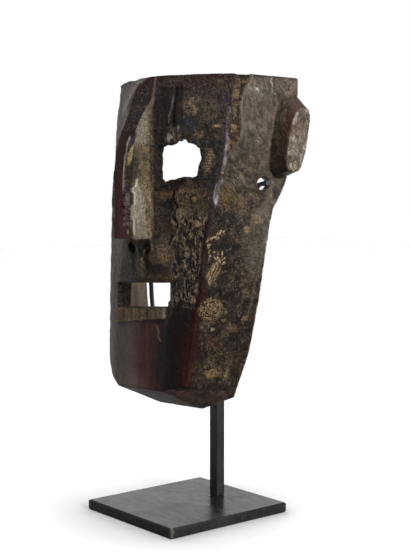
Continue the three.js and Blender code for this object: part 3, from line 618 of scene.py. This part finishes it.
# Lines on the face: colour, strength, height, half width, points (x, z).
FACE_LINES = (
    ((12, 10, 10), 0.95, -0.5, 1.5, ((35.4, 404), (37.6, 381), (38.4, 368))),
    ((118, 112, 106), 0.75, 0, 0.75, ((34.2, 396), (34.4, 385), (33.8, 373))),
    ((84, 76, 72), 0.6, 0, 0.8, ((43.2, 402), (43.4, 387))),
    ((168, 160, 148), 0.8, 0, 0.9, ((34.6, 363), (35.4, 356))),
    ((130, 114, 92), 0.7, 0.2, 1.0, ((38.9, 366), (41.6, 356))),
    ((128, 110, 88), 0.7, 0.2, 1.0, ((43, 369), (44.6, 357))),
    ((110, 94, 72), 0.7, 0.2, 1.0, ((58, 366), (61, 356), (64, 349))),
    ((16, 13, 12), 0.95, -1.3, 1.2, ((42.2, 309), (42.3, 303), (45.6, 296.5), (43, 290.8), (45.5, 283.2),
                                     (46.5, 280), (44.4, 274), (40.7, 267.8), (38.4, 263))),
    ((16, 13, 12), 0.9, -0.8, 0.9, ((58, 308), (57.2, 301.5), (52.5, 297.3), (46, 295.6))),
    ((148, 130, 96), 0.7, 0.2, 0.8, ((48.2, 284), (48.4, 279), (46, 273), (42.6, 267))),
    ((116, 84, 64), 0.6, 0.2, 1.6, ((63, 304), (68, 307), (71, 310))),
    # Painted highlight: a white glint below the nose.
    ((234, 232, 226), 0.85, 0, 1.0, ((20.6, 262.6), (20.2, 258))),
    ((178, 150, 118), 0.75, 0.3, 0.9, ((17, 254), (20, 256), (22.5, 252), (19.5, 248), (17, 250), (17.5, 246),
                                       (21, 243.5))),
    ((130, 118, 98), 0.8, 0.8, 1.4, ((-2, 259), (1.4, 252), (2, 245))),
    ((130, 118, 98), 0.8, 0.8, 1.4, ((9.5, 259), (6, 252), (5, 245))),
    ((140, 110, 80), 0.7, 0.4, 1.2, ((10.6, 231), (13.8, 234.6), (17, 231))),
    ((140, 122, 100), 0.85, 0.5, 1.3, ((23.7, 188), (26.6, 183), (27, 178.4), (30.4, 174))),
    ((150, 104, 96), 0.7, 0.2, 0.9, ((36, 124.8), (47.8, 124.4))),
)
for colour, amount, height, width, points in FACE_LINES:
    shape = stroke(x + 0.3 * (xs - x), z + 0.3 * (zs - z), points, width) * outer * (1 - head_side)
    lay(colour, amount * shape)
    relief += height * shape

# A drop of resin below the nose, worm ripples beside the eye, and scratches
# across one tooth.
drop = outer * patch(x, z, (3.4, 240), (5.4, 9.5), 6) * ramp(-y, 48, 50)
lay((116, 104, 84), drop * 0.85, rough=0.55, crust=0.5)
relief += drop * 0.8
ripples = on_front * patch(xs, zs, (70.5, 338), (3.6, 11), -6)
lay((134, 112, 86), ripples * 0.75, waves=1.2, flecks=0)
tooth_scratches = teeth * patch(x, z, (13, 197), (6, 5)) * (0.5 + 0.5 * np.sin(z / 2.9 * math.tau))
lay(SOOT, tooth_scratches * 0.7)

# Marks on the side of the head that the light falls on, given like those on
# the face but with the centre at (y, z).
SIDE_MARKS = (
    ((92, 78, 52), 0.75, 0, (-17, 305), (9, 11), 20, 0.4),
    ((116, 90, 54), 0.7, 0, (-21, 306), (3, 10), 10, 0.4),
    ((112, 90, 66), 0.6, 0, (-7, 297), (8, 9), -20, 0.6),
    ((36, 33, 30), 0.85, 0, (-19, 286), (8, 7), 20, 0),
    ((34, 34, 32), 0.85, 0, (-20, 264), (8, 9), 20, 0),
    ((98, 92, 82), 0.7, 0, (6, 262), (11, 24), 10, 0.3),
    ((150, 124, 88), 0.75, 0.2, (6, 285), (5, 5), 0, 0.5),
    ((156, 138, 100), 0.8, 0.2, (-1, 276.3), (2.4, 3), 0, 0.3),
    ((54, 34, 27), 0.85, 0, (-28, 271), (9, 4.4), 30, 0),
    ((50, 32, 26), 0.85, 0, (-34, 258), (2.6, 11), 0, 0),
    ((50, 34, 27), 0.85, 0, (-24.6, 251), (6, 7), 0, 0),
    ((92, 70, 50), 0.95, -0.4, (-29, 238), (4.8, 10), -27, 0),
    ((44, 30, 27), 0.85, 0, (-22, 238), (6, 13), 0, 0),
    ((46, 28, 21), 0.96, 0.3, (-30.6, 204.6), (10, 10.4), 0, 0),
    ((124, 76, 52), 0.8, 0, (-28.4, 206), (2.2, 5), -10, 0.3),
    ((176, 154, 122), 0.8, 0.2, (-27.3, 186.8), (1.4, 1.4), 0, 0),
    ((132, 112, 92), 0.6, 0, (-35.5, 190), (3, 5), 20, 0.8),
    ((158, 138, 110), 0.7, 0.2, (-30.4, 190), (1.4, 1.5), 0, 0),
    (TAN, 0.7, 0.2, (-17.6, 202), (3, 2.6), 0, 0.4),
    ((136, 116, 90), 0.65, 0.2, (-17.4, 195), (2.4, 2.4), 0, 0.5),
    ((142, 122, 96), 0.65, 0.2, (1, 195.4), (3.4, 3.4), 20, 0.5),
    ((122, 104, 76), 0.7, 0, (0, 218), (4, 5), 0, 0.5),
    ((118, 96, 64), 0.75, 0.2, (-8, 187.6), (4.6, 3.4), 0, 0.5),
    ((108, 70, 52), 0.75, 0.2, (-29.4, 178), (3.6, 4), 0, 0.6),
    ((100, 70, 54), 0.6, 0, (-21.6, 178), (3, 3), 0, 0.6),
    ((104, 88, 74), 0.5, 0, (-14, 182), (5, 9), 20, 0.9),
    ((46, 39, 33), 0.7, 0, (-24, 152), (17, 12), 10, 0.2),
    ((150, 120, 80), 0.8, 0.2, (-24, 145.6), (5, 4.4), 20, 0.6),
    ((146, 126, 88), 0.8, 0.2, (-10.4, 143), (2, 4.4), -20, 0.5),
    ((108, 94, 62), 0.3, 0.2, (4, 347), (7, 9), 0, 0.85),
    ((120, 88, 66), 0.3, 0, (9, 336), (4, 6), 0, 0.85),
    ((178, 160, 136), 0.8, 0, (6.6, 356.5), (1.2, 4), -8, 0),
    ((206, 200, 188), 0.9, 0, (6.4, 401), (1.4, 1.8), 0, 0),
    ((190, 182, 166), 0.8, 0, (20, 399), (1.2, 1.4), 0, 0),
    ((170, 158, 140), 0.5, 0, (4, 400), (9, 8), 0, 0.9),
    ((150, 134, 120), 0.4, 0, (34, 406), (12, 8), 0, 0),
    ((140, 118, 94), 0.7, 0.2, (-14.6, 380.5), (2, 5.4), 0, 0.5),
    ((176, 160, 128), 0.85, 0.2, (-17, 368), (1.6, 1.6), 0, 0),
    ((112, 92, 72), 0.6, 0.2, (-13.5, 361), (2, 5), 0, 0.5),
    ((148, 124, 98), 0.75, 0.2, (-14.4, 399), (3.4, 6), 24, 0.5),
)
for colour, amount, height, centre, radii, turn, broken in SIDE_MARKS:
    shape = patch(ys, zs, centre, radii, turn) * on_side
    lay(colour, amount * shape * (1 - broken * (1 - speckle)), crust=0.9)
    relief += height * shape

# Short pale slivers that stand proud on the side, all alike: colour, half
# width, points (y, z).
SLIVER_STRENGTH, SLIVER_HEIGHT = 0.95, 0.4
SLIVERS = (
    ((206, 182, 146), 0.65, ((-20.6, 276.6), (-22.4, 275))),
    ((212, 188, 152), 0.72, ((-23.6, 275.8), (-26, 272.6))),
    ((206, 182, 146), 0.58, ((-21.6, 273), (-23.4, 272.2))),
    ((214, 190, 154), 0.79, ((-27, 272.6), (-29, 269.6))),
    ((206, 184, 148), 0.65, ((-25.6, 269.6), (-27.4, 268.4))),
    ((214, 190, 154), 0.79, ((-30.4, 270.4), (-32.4, 267.6))),
    ((206, 184, 148), 0.65, ((-33.4, 268), (-34.8, 265.6))),
    ((206, 186, 152), 0.86, ((-33.6, 263.4), (-34.2, 260.8))),
    ((202, 182, 150), 0.79, ((-33.4, 258.4), (-34, 255.6))),
    ((196, 176, 144), 0.86, ((-32.8, 253.2), (-33.6, 250))),
    ((212, 188, 150), 0.79, ((-29.6, 257), (-29, 252.4), (-26.4, 248.6), (-25.4, 246))),
    ((206, 182, 144), 0.72, ((-26.4, 256.4), (-25.6, 252), (-24, 249.4), (-23.6, 246.6))),
    ((206, 180, 142), 0.72, ((-21.6, 257), (-22.4, 253.6))),
    ((206, 180, 142), 0.79, ((-20, 251.8), (-22.4, 250.6))),
    ((196, 172, 136), 0.72, ((-20.6, 247.8), (-22, 245.4))),
    ((190, 160, 122), 0.65, ((-35, 233.4), (-32.6, 239.4), (-29, 246))),
    ((206, 176, 136), 0.72, ((-34, 229.6), (-31, 238.6), (-26.4, 246.6))),
    ((196, 166, 126), 0.65, ((-31.6, 230), (-28.6, 237), (-24.6, 245))),
    ((186, 156, 118), 0.58, ((-28.8, 231.6), (-26.6, 236), (-23.4, 242))),
)
# Other lines on the side: colour, strength, height, half width, points (y, z).
OTHER_LINES = (
    ((196, 176, 128), 0.9, 0.3, 1.3, ((-33.8, 230.6), (-33, 228.4))),
    ((172, 164, 148), 0.8, 0, 0.9, ((18.6, 412), (18.5, 400))),
    ((134, 118, 92), 0.6, 0.3, 1.3, ((41, 330), (30, 320))),
    ((96, 90, 74), 0.7, 0, 1.2, ((21, 300), (14, 262), (9, 230), (5, 200))),
)
SIDE_LINES = [(colour, SLIVER_STRENGTH, SLIVER_HEIGHT, width, points) for colour, width, points in SLIVERS]
for colour, amount, height, width, points in (*SIDE_LINES, *OTHER_LINES):
    shape = stroke(y + 0.5 * (ys - y), z + 0.5 * (zs - z), points, width) * on_side
    lay(colour, amount * shape)
    relief += height * shape

# The bare block in the dark part of the side has no specks or worm lines, and
# the net of worm lines lies round two spots below it.
block_zone = patch(y, z, (-29, 238), (5, 10), -27) * seen * ramp(outwards, 0.5, 0.7)
lay((120, 94, 66), block_zone * 0.3, net=0, flecks=0)
net_zone = 0.6 * patch(ys, zs, (-22, 149), (15, 12), 10, 0.9) * spots(0.3, 0.6, 5, 232)
net_zone = on_side * (net_zone + patch(y, z, (-30.6, 204.6), (10.4, 10.8), 0, 0.12))
net[:] = np.maximum(net, net_zone)
relief += net_zone * 0.5 * (cloud(2.6, 231, 1) - 0.5)

# The chin's underside, painted grey on its left as a reflection of the floor, and
# the walls of the eye holes.
UNDER_FLOOR_REFLECTION, UNDER_REFLECTION_STREAKS, UNDER_OCHRE, EYE_WALL = (98, 80, 74), (112, 102, 95), (128, 100, 84), (40, 31, 27)
under_left = chin_under * ramp(36 - xs, -2, 2)
lay(UNDER_FLOOR_REFLECTION, under_left * 0.9, rough=0.5, crust=0.4, grain=0.2)
lay(UNDER_REFLECTION_STREAKS, under_left * spots(0.5, 0.72, 2.4, 245, 2, sideways=7) * 0.7, rough=0.45)
lay((36, 28, 25), under_left * spots(0.58, 0.78, 2.8, 246, 2, sideways=6) * 0.7)
lay(UNDER_OCHRE, chin_under * ramp(xs, 34, 38) * 0.9, rough=0.5, crust=0.9, flecks=0.5)
lay((44, 34, 29), chin_under * ramp(xs, 34, 38) * spots(0.5, 0.7, 5, 247, 3, sideways=2) * 0.7)
lay((150, 108, 98), stroke(x + 0.3 * (xs - x), y, ((36, -46), (52, -42)), 0.8) * chin_under * 0.6)
lay(EYE_WALL, hole_wall * 0.9, rough=0.6, crust=0.8)
relief += hole_wall * (0.9 + 1.1 * (cloud(4, 241) - 0.5))

# The top edge isn't quite level: it dips a little beside the middle.
top_edge = outer * ramp(facing[:, 2], 0.5, 0.8) * ramp(z, 404, 408)
relief += top_edge * (1.5 * ramp(-x, 30, 50) + 1.1 * ramp(x, -10, 30))

moved = place + facing * relief[:, None]
carved_mesh.vertices.foreach_set("co", (moved * MM).astype(np.float32).ravel())
patina_colours = np.column_stack((patina, np.ones(len(x)))).astype(np.float32)
carved_mesh.attributes.new("patina", "FLOAT_COLOR", "POINT").data.foreach_set("color", patina_colours.ravel())
for name, field in FIELDS.items():
    carved_mesh.attributes.new(name, "FLOAT", "POINT").data.foreach_set("value", field.astype(np.float32))
for polygon in carved_mesh.polygons:
    polygon.use_smooth = True


# The shader's own helpers: nodes, and sums between their values.
def add(tree, kind, inputs, **settings):
    """Adds a shader node, with sockets linked or set by name."""
    made = tree.nodes.new("ShaderNode" + kind)
    for name, value in settings.items():
        setattr(made, name, value)
    for name, value in inputs.items():
        if isinstance(value, bpy.types.NodeSocket):
            tree.links.new(value, made.inputs[name])
        else:
            made.inputs[name].default_value = value
    return made


def sums(operation, first, second):
    """A sum of two values, in the tree of the one that is a socket."""
    tree = (first if isinstance(first, bpy.types.NodeSocket) else second).id_data
    return add(tree, "Math", {0: first, 1: second}, operation=operation).outputs["Value"]


def plus(first, second):
    return sums("ADD", first, second)


def minus(first, second):
    return sums("SUBTRACT", first, second)


def times(first, second):
    return sums("MULTIPLY", first, second)


def between(value, low, high):
    """How far a value has come from one number to another, from 0 to 1."""
    inputs = {"Value": value, "From Min": low, "From Max": high}
    return add(value.id_data, "MapRange", inputs).outputs["Result"]


def mixed(share, first, second):
    return add(share.id_data, "MixRGB", {"Fac": share, "Color1": first, "Color2": second}).outputs["Color"]


def noise(place, scale, detail, low, high):
    inputs = {"Vector": place, "Scale": scale, "Detail": detail, "Roughness": 0.6}
    return between(add(place.id_data, "TexNoise", inputs).outputs["Fac"], low, high)


def scaled(place, scale):
    return add(place.id_data, "Mapping", {"Vector": place, "Scale": scale}).outputs["Vector"]


def stretched(place, turn, amount):
    """Places that draw a noise out along the upright, or along a slope."""
    turned = add(place.id_data, "Mapping", {"Vector": place, "Rotation": (turn, 0, 0)}).outputs["Vector"]
    return scaled(turned, (1, 1, amount))


def squiggles(place, scale, width):
    """Fine curling lines: the contours of a noise."""
    inputs = {"Vector": place, "Scale": scale, "Detail": 1.0, "Distortion": 0.6}
    level = add(place.id_data, "TexNoise", inputs).outputs["Fac"]
    return between(sums("ABSOLUTE", minus(level, 0.5), 0.0), width, width * 0.3)


def new_material(name):
    made = bpy.data.materials.new(name)
    made.use_nodes = True
    spot = add(made.node_tree, "TexCoord", {}).outputs["Object"]
    return made, made.node_tree.nodes["Principled BSDF"], spot


def dress(mesh, material):
    mesh.materials.clear()
    mesh.materials.append(material)


# The wood's surface: crust, upright grain, slanting tool scratches, a fine net
# of worm lines, runs of tar and specks of ochre earth, each as strong as the
# mask's own fields say.
LINE_TAN, RUN_DUN, FLECK_TAN = ((*linear(c), 1) for c in ((204, 172, 130), (156, 132, 112), (172, 150, 128)))
DARKEST = 0.15
wood, surface, spot = new_material("carved_wood")
tree = wood.node_tree
coat = add(tree, "Attribute", {}, attribute_name="patina").outputs["Color"]
read_fields = [add(tree, "Attribute", {}, attribute_name=name).outputs["Fac"] for name in FIELDS]
roughness, crusty, grained, hatched, netted, tarred, waved, flecked = read_fields
lumps = noise(spot, 330.0, 3.0, 0.36, 0.64)
pits = noise(spot, 760.0, 2.0, 0.36, 0.5)
fibres = noise(stretched(spot, 0, 0.09), 900.0, 3.0, 0.3, 0.7)
strokes = noise(stretched(spot, -0.65, 0.16), 620.0, 2.0, 0.34, 0.66)
scratches = times(squiggles(spot, 500.0, 0.085), netted)
run_lines = times(squiggles(stretched(spot, 0, 0.25), 340.0, 0.1), noise(spot, 260.0, 1.0, 0.44, 0.56))
run_lines = times(run_lines, tarred)
shade = times(minus(lumps, 0.5), times(crusty, 0.9))
holes = times(minus(pits, 0.75), times(crusty, 1.2))
curls = times(squiggles(spot, 430.0, 0.07), noise(spot, 210.0, 1.0, 0.42, 0.58))
curls = times(minus(curls, 0.2), times(crusty, 0.9))
wave_inputs = {"Vector": spot, "Scale": 125.0, "Distortion": 3.0, "Detail": 1.0, "Detail Scale": 1.2}
level_rows = add(tree, "TexWave", wave_inputs, bands_direction="Z").outputs["Fac"]
rows = times(minus(level_rows, 0.5), waved)
fleck_spots = times(noise(spot, 560.0, 2.0, 0.57, 0.65), noise(spot, 150.0, 2.0, 0.44, 0.6))
fleck_spots = times(fleck_spots, flecked)
dark_spots = times(noise(stretched(spot, 0.4, 0.7), 430.0, 2.0, 0.42, 0.32), times(flecked, -0.55))
lines = times(minus(fibres, 0.5), times(grained, 0.6))
slants = times(minus(strokes, 0.5), times(hatched, 0.8))
value = plus(plus(plus(shade, holes), plus(lines, slants)), 1.0)
value = plus(value, plus(curls, times(rows, 1.1)))
value = sums("MAXIMUM", plus(value, dark_spots), DARKEST)
lined = add(tree, "HueSaturation", {"Color": coat, "Value": value}).outputs["Color"]
lined = mixed(times(scratches, 0.85), lined, LINE_TAN)
lined = mixed(times(run_lines, 0.85), lined, RUN_DUN)
lined = mixed(times(fleck_spots, 0.7), lined, FLECK_TAN)
tree.links.new(lined, surface.inputs["Base Color"])
tree.links.new(plus(roughness, times(shade, 0.2)), surface.inputs["Roughness"])
height = times(plus(lumps, times(pits, 0.5)), crusty)
height = plus(height, times(fibres, times(grained, 0.35)))
height = plus(height, times(strokes, times(hatched, 0.4)))
height = plus(height, plus(scratches, times(run_lines, 0.8)))
height = plus(height, plus(curls, rows))
bump = add(tree, "Bump", {"Strength": 0.9, "Distance": 0.001, "Height": height})
tree.links.new(bump.outputs["Normal"], surface.inputs["Normal"])
surface.inputs["Specular IOR Level"].default_value = 0.2
dress(carved_mesh, wood)
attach(mask, "root")
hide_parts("mask")

# The plate: a slab of mild steel, blackened and waxed. It is satin and cloudy
# on top, its sawn edges are darker and streaked, and a spot on the corner to
# the front is worn bright.
PLATE_GREY, EDGE_GREY, BARE_STEEL = (0.015, 0.015, 0.015, 1), (0.036, 0.036, 0.035, 1), (0.2, 0.18, 0.16, 1)
PLATE_GLOSS = 0.16
ARRIS = 0.2 * MM
CORNER_INSET = 0.5 * MM
CORNER_SQUEEZE = 0.3
CORNER_WORN, CORNER_BARE, CHIPS = 4.8 * MM, 3.6 * MM, 4 * MM


def blackened(name, tone, edge_tone, edge_height, gloss):
    """Waxed black steel: cloudy, finely brushed and dulled in spots."""
    steel, surface, spot = new_material(name)
    tree = steel.node_tree
    up = add(tree, "SeparateXYZ", {"Vector": spot}).outputs["Z"]
    level = between(up, edge_height - MM, edge_height)
    below = minus(1.0, level)
    heat = noise(spot, 24.0, 5.0, 0.25, 0.75)
    smudges = noise(scaled(spot, (1, 2.5, 1)), 75.0, 3.0, 0.35, 0.65)
    brushing = noise(scaled(spot, (0.08, 1, 1)), 800.0, 2.0, 0.3, 0.7)
    sawn = noise(scaled(spot, (0.3, 0.05, 1)), 620.0, 3.0, 0.3, 0.7)
    specks = noise(spot, 300.0, 2.0, 0.29, 0.24)
    value = plus(plus(times(heat, 0.5), times(smudges, 0.2)), times(brushing, 0.08))
    value = plus(value, times(times(minus(sawn, 0.45), 0.9), below))
    value = minus(plus(value, 0.72), times(specks, 0.35))
    base = mixed(level, edge_tone, tone)
    blacking = add(tree, "HueSaturation", {"Color": base, "Value": value}).outputs["Color"]
    tree.links.new(blacking, surface.inputs["Base Color"])
    dullness = plus(times(smudges, 0.1), times(heat, 0.14))
    tree.links.new(plus(dullness, gloss), surface.inputs["Roughness"])
    grooves = plus(times(brushing, 0.3), times(heat, 0.5))
    grooves = plus(grooves, times(times(sawn, 5.0), below))
    bump = add(tree, "Bump", {"Strength": 0.07, "Distance": 0.0004, "Height": grooves})
    tree.links.new(bump.outputs["Normal"], surface.inputs["Normal"])
    surface.inputs["Metallic"].default_value = 0.3
    return steel, surface, spot, blacking


plate_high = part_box("base_plate")[1]
plate_top = plate_high[2] - ARRIS
plate_steel, surface, spot, blacking = blackened("plate_steel", PLATE_GREY, EDGE_GREY, plate_top, PLATE_GLOSS)
tree = plate_steel.node_tree
corner = (plate_high[0] - CORNER_INSET, CORNER_INSET - plate_high[1], CORNER_SQUEEZE * plate_high[2] / 2)
squeezed = scaled(spot, (1, 1, CORNER_SQUEEZE))
from_corner = add(tree, "VectorMath", {0: squeezed, 1: corner}, operation="DISTANCE").outputs["Value"]
chipped = plus(from_corner, times(noise(spot, 500.0, 3.0, 0.3, 0.7), CHIPS))
bared = mixed(between(chipped, CORNER_WORN, CORNER_BARE), blacking, BARE_STEEL)
tree.links.new(bared, surface.inputs["Base Color"])
dress(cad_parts["base_plate"].data, plate_steel)

# The post and the rod: square and round bar, blackened with the plate and
# welded to it and to each other. The heat has browned the foot of the post,
# and a thin dark reflection is painted along its long edges.
POST_GREY, ROD_GREY, BURNT_GREY = (0.045, 0.045, 0.043, 1), (0.026, 0.026, 0.026, 1), (0.048, 0.045, 0.038, 1)
ARRIS_REFLECTION_BLACK = (0.006, 0.006, 0.006, 1)
BAR_GLOSS = 0.32
BURNT_HEIGHT = 12 * MM
ARRIS_FROM, ARRIS_TO = 1.1 * MM, 0.5 * MM
burnt_to = plate_high[2] + BURNT_HEIGHT
rod_steel = blackened("support_rod_steel", ROD_GREY, BURNT_GREY, burnt_to, BAR_GLOSS)[0]
dress(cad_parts["support_rod"].data, rod_steel)
post_steel, surface, spot, blacking = blackened("post_steel", POST_GREY, BURNT_GREY, burnt_to, BAR_GLOSS)
tree = post_steel.node_tree
post_low, post_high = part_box("post")
post_middle = [(low + high) / 2 for low, high in zip(post_low, post_high)]
half_bar = (post_high[0] - post_low[0]) / 2
off_middle = add(tree, "VectorMath", {0: spot, 1: post_middle}, operation="SUBTRACT").outputs["Vector"]
off_middle = add(tree, "VectorMath", {0: off_middle}, operation="ABSOLUTE").outputs["Vector"]
off_sides = add(tree, "SeparateXYZ", {"Vector": off_middle})
nearer = sums("MINIMUM", off_sides.outputs["X"], off_sides.outputs["Y"])
# Painted reflection: a thin dark line along each long edge of the post.
arris_reflection = between(nearer, half_bar - ARRIS_FROM, half_bar - ARRIS_TO)
tree.links.new(mixed(times(arris_reflection, 0.85), blacking, ARRIS_REFLECTION_BLACK), surface.inputs["Base Color"])
dress(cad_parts["post"].data, post_steel)

# The studio: a white floor and surround, bright behind the object and dim in
# front of it as in a photographer's studio, with a broad soft light from
# above and a softbox from the right. The camera sees floor and surround white.
FLOOR_SIZE = 8
FLOOR_DIM, FLOOR_BRIGHT = (0.1, 0.1, 0.1, 1), (0.9, 0.9, 0.9, 1)
SHADOW_GREY, WHITE = (0.66, 0.66, 0.675, 1), (1, 1, 1, 1)
SHADOW_REACH = 0.16
ROOM_DIM = 0.12
BACKWARD = Vector((-0.77, 0.63, 0))
KEY_AT, KEY_AIM = Vector((1.35, -0.05, 0.62)), Vector((0, 0, 0.26))
KEY_SIZE, KEY_WATTS = (0.4, 0.6), 13
OVERHEAD_STRENGTH, OVERHEAD_ANGLE = 2.6, 60
bm = bmesh.new()
bmesh.ops.create_grid(bm, x_segments=1, y_segments=1, size=FLOOR_SIZE / 2)
floor_mesh = bpy.data.meshes.new("floor")
bm.to_mesh(floor_mesh)
bm.free()
floor = bpy.data.objects.new("floor", floor_mesh)
scene.collection.objects.link(floor)


def towards_back(place, low, high):
    """0 in front of the object to 1 behind it, from a place or a direction."""
    how_far = add(place.id_data, "VectorMath", {0: place, 1: BACKWARD}, operation="DOT_PRODUCT")
    return sums("POWER", between(how_far.outputs["Value"], low, high), 2.0)


white, surface, spot = new_material("studio_white")
tree = white.node_tree
surface.inputs["Roughness"].default_value = 0.7
sheen = mixed(towards_back(spot, -0.2, 0.5), FLOOR_DIM, FLOOR_BRIGHT)
beside = between(add(tree, "AmbientOcclusion", {"Distance": SHADOW_REACH}).outputs["AO"], 0.78, 1.0)
to_camera = add(tree, "LightPath", {}).outputs["Is Camera Ray"]
tree.links.new(mixed(to_camera, sheen, mixed(beside, SHADOW_GREY, WHITE)), surface.inputs["Base Color"])
floor_mesh.materials.append(white)

scene.view_settings.view_transform = "Standard"
world = bpy.data.worlds.new("studio")
scene.world = world
world.use_nodes = True
tree = world.node_tree
lit = towards_back(add(tree, "TexCoord", {}).outputs["Generated"], 0.25, 1.0)
glow = add(tree, "MapRange", {"Value": lit, "To Min": ROOM_DIM, "To Max": 1.0}).outputs["Result"]
room = add(tree, "Background", {"Color": WHITE, "Strength": glow}).outputs[0]
backdrop = add(tree, "Background", {"Color": WHITE, "Strength": 1.0}).outputs[0]
to_camera = add(tree, "LightPath", {}).outputs["Is Camera Ray"]
blend = add(tree, "MixShader", {0: to_camera, 1: room, 2: backdrop}).outputs[0]
tree.links.new(blend, tree.nodes["World Output"].inputs["Surface"])

key = bpy.data.lights.new("key", "AREA")
key.shape = "RECTANGLE"
key.size, key.size_y = KEY_SIZE
key.energy = KEY_WATTS
key_lamp = bpy.data.objects.new("key", key)
key_lamp.location = KEY_AT
key_lamp.rotation_mode = "QUATERNION"
key_lamp.rotation_quaternion = (KEY_AIM - KEY_AT).to_track_quat("-Z", "Y")
key_lamp.visible_camera = False
scene.collection.objects.link(key_lamp)
overhead = bpy.data.lights.new("overhead", "SUN")
overhead.energy = OVERHEAD_STRENGTH
overhead.angle = math.radians(OVERHEAD_ANGLE)
overhead_lamp = bpy.data.objects.new("overhead", overhead)
scene.collection.objects.link(overhead_lamp)

# The camera, as in the photograph: its place, its target and its lens, in mm.
CAMERA_AT = (894.0, -717.4, 320.6)
CAMERA_TARGET = (11.21, 13.54, 227.78)
SENSOR = 36
LENS = 77.79
CLIP_START, CLIP_END = 0.05, 20
lens = bpy.data.cameras.new("camera")
lens.sensor_fit = "AUTO"
lens.sensor_width = SENSOR
lens.lens = LENS
lens.clip_start, lens.clip_end = CLIP_START, CLIP_END
camera = bpy.data.objects.new("camera", lens)
camera.location = Vector(CAMERA_AT) * MM
camera.rotation_mode = "QUATERNION"
aim = (Vector(CAMERA_TARGET) - Vector(CAMERA_AT)) * MM
camera.rotation_quaternion = aim.to_track_quat("-Z", "Y")
scene.collection.objects.link(camera)
scene.camera = camera
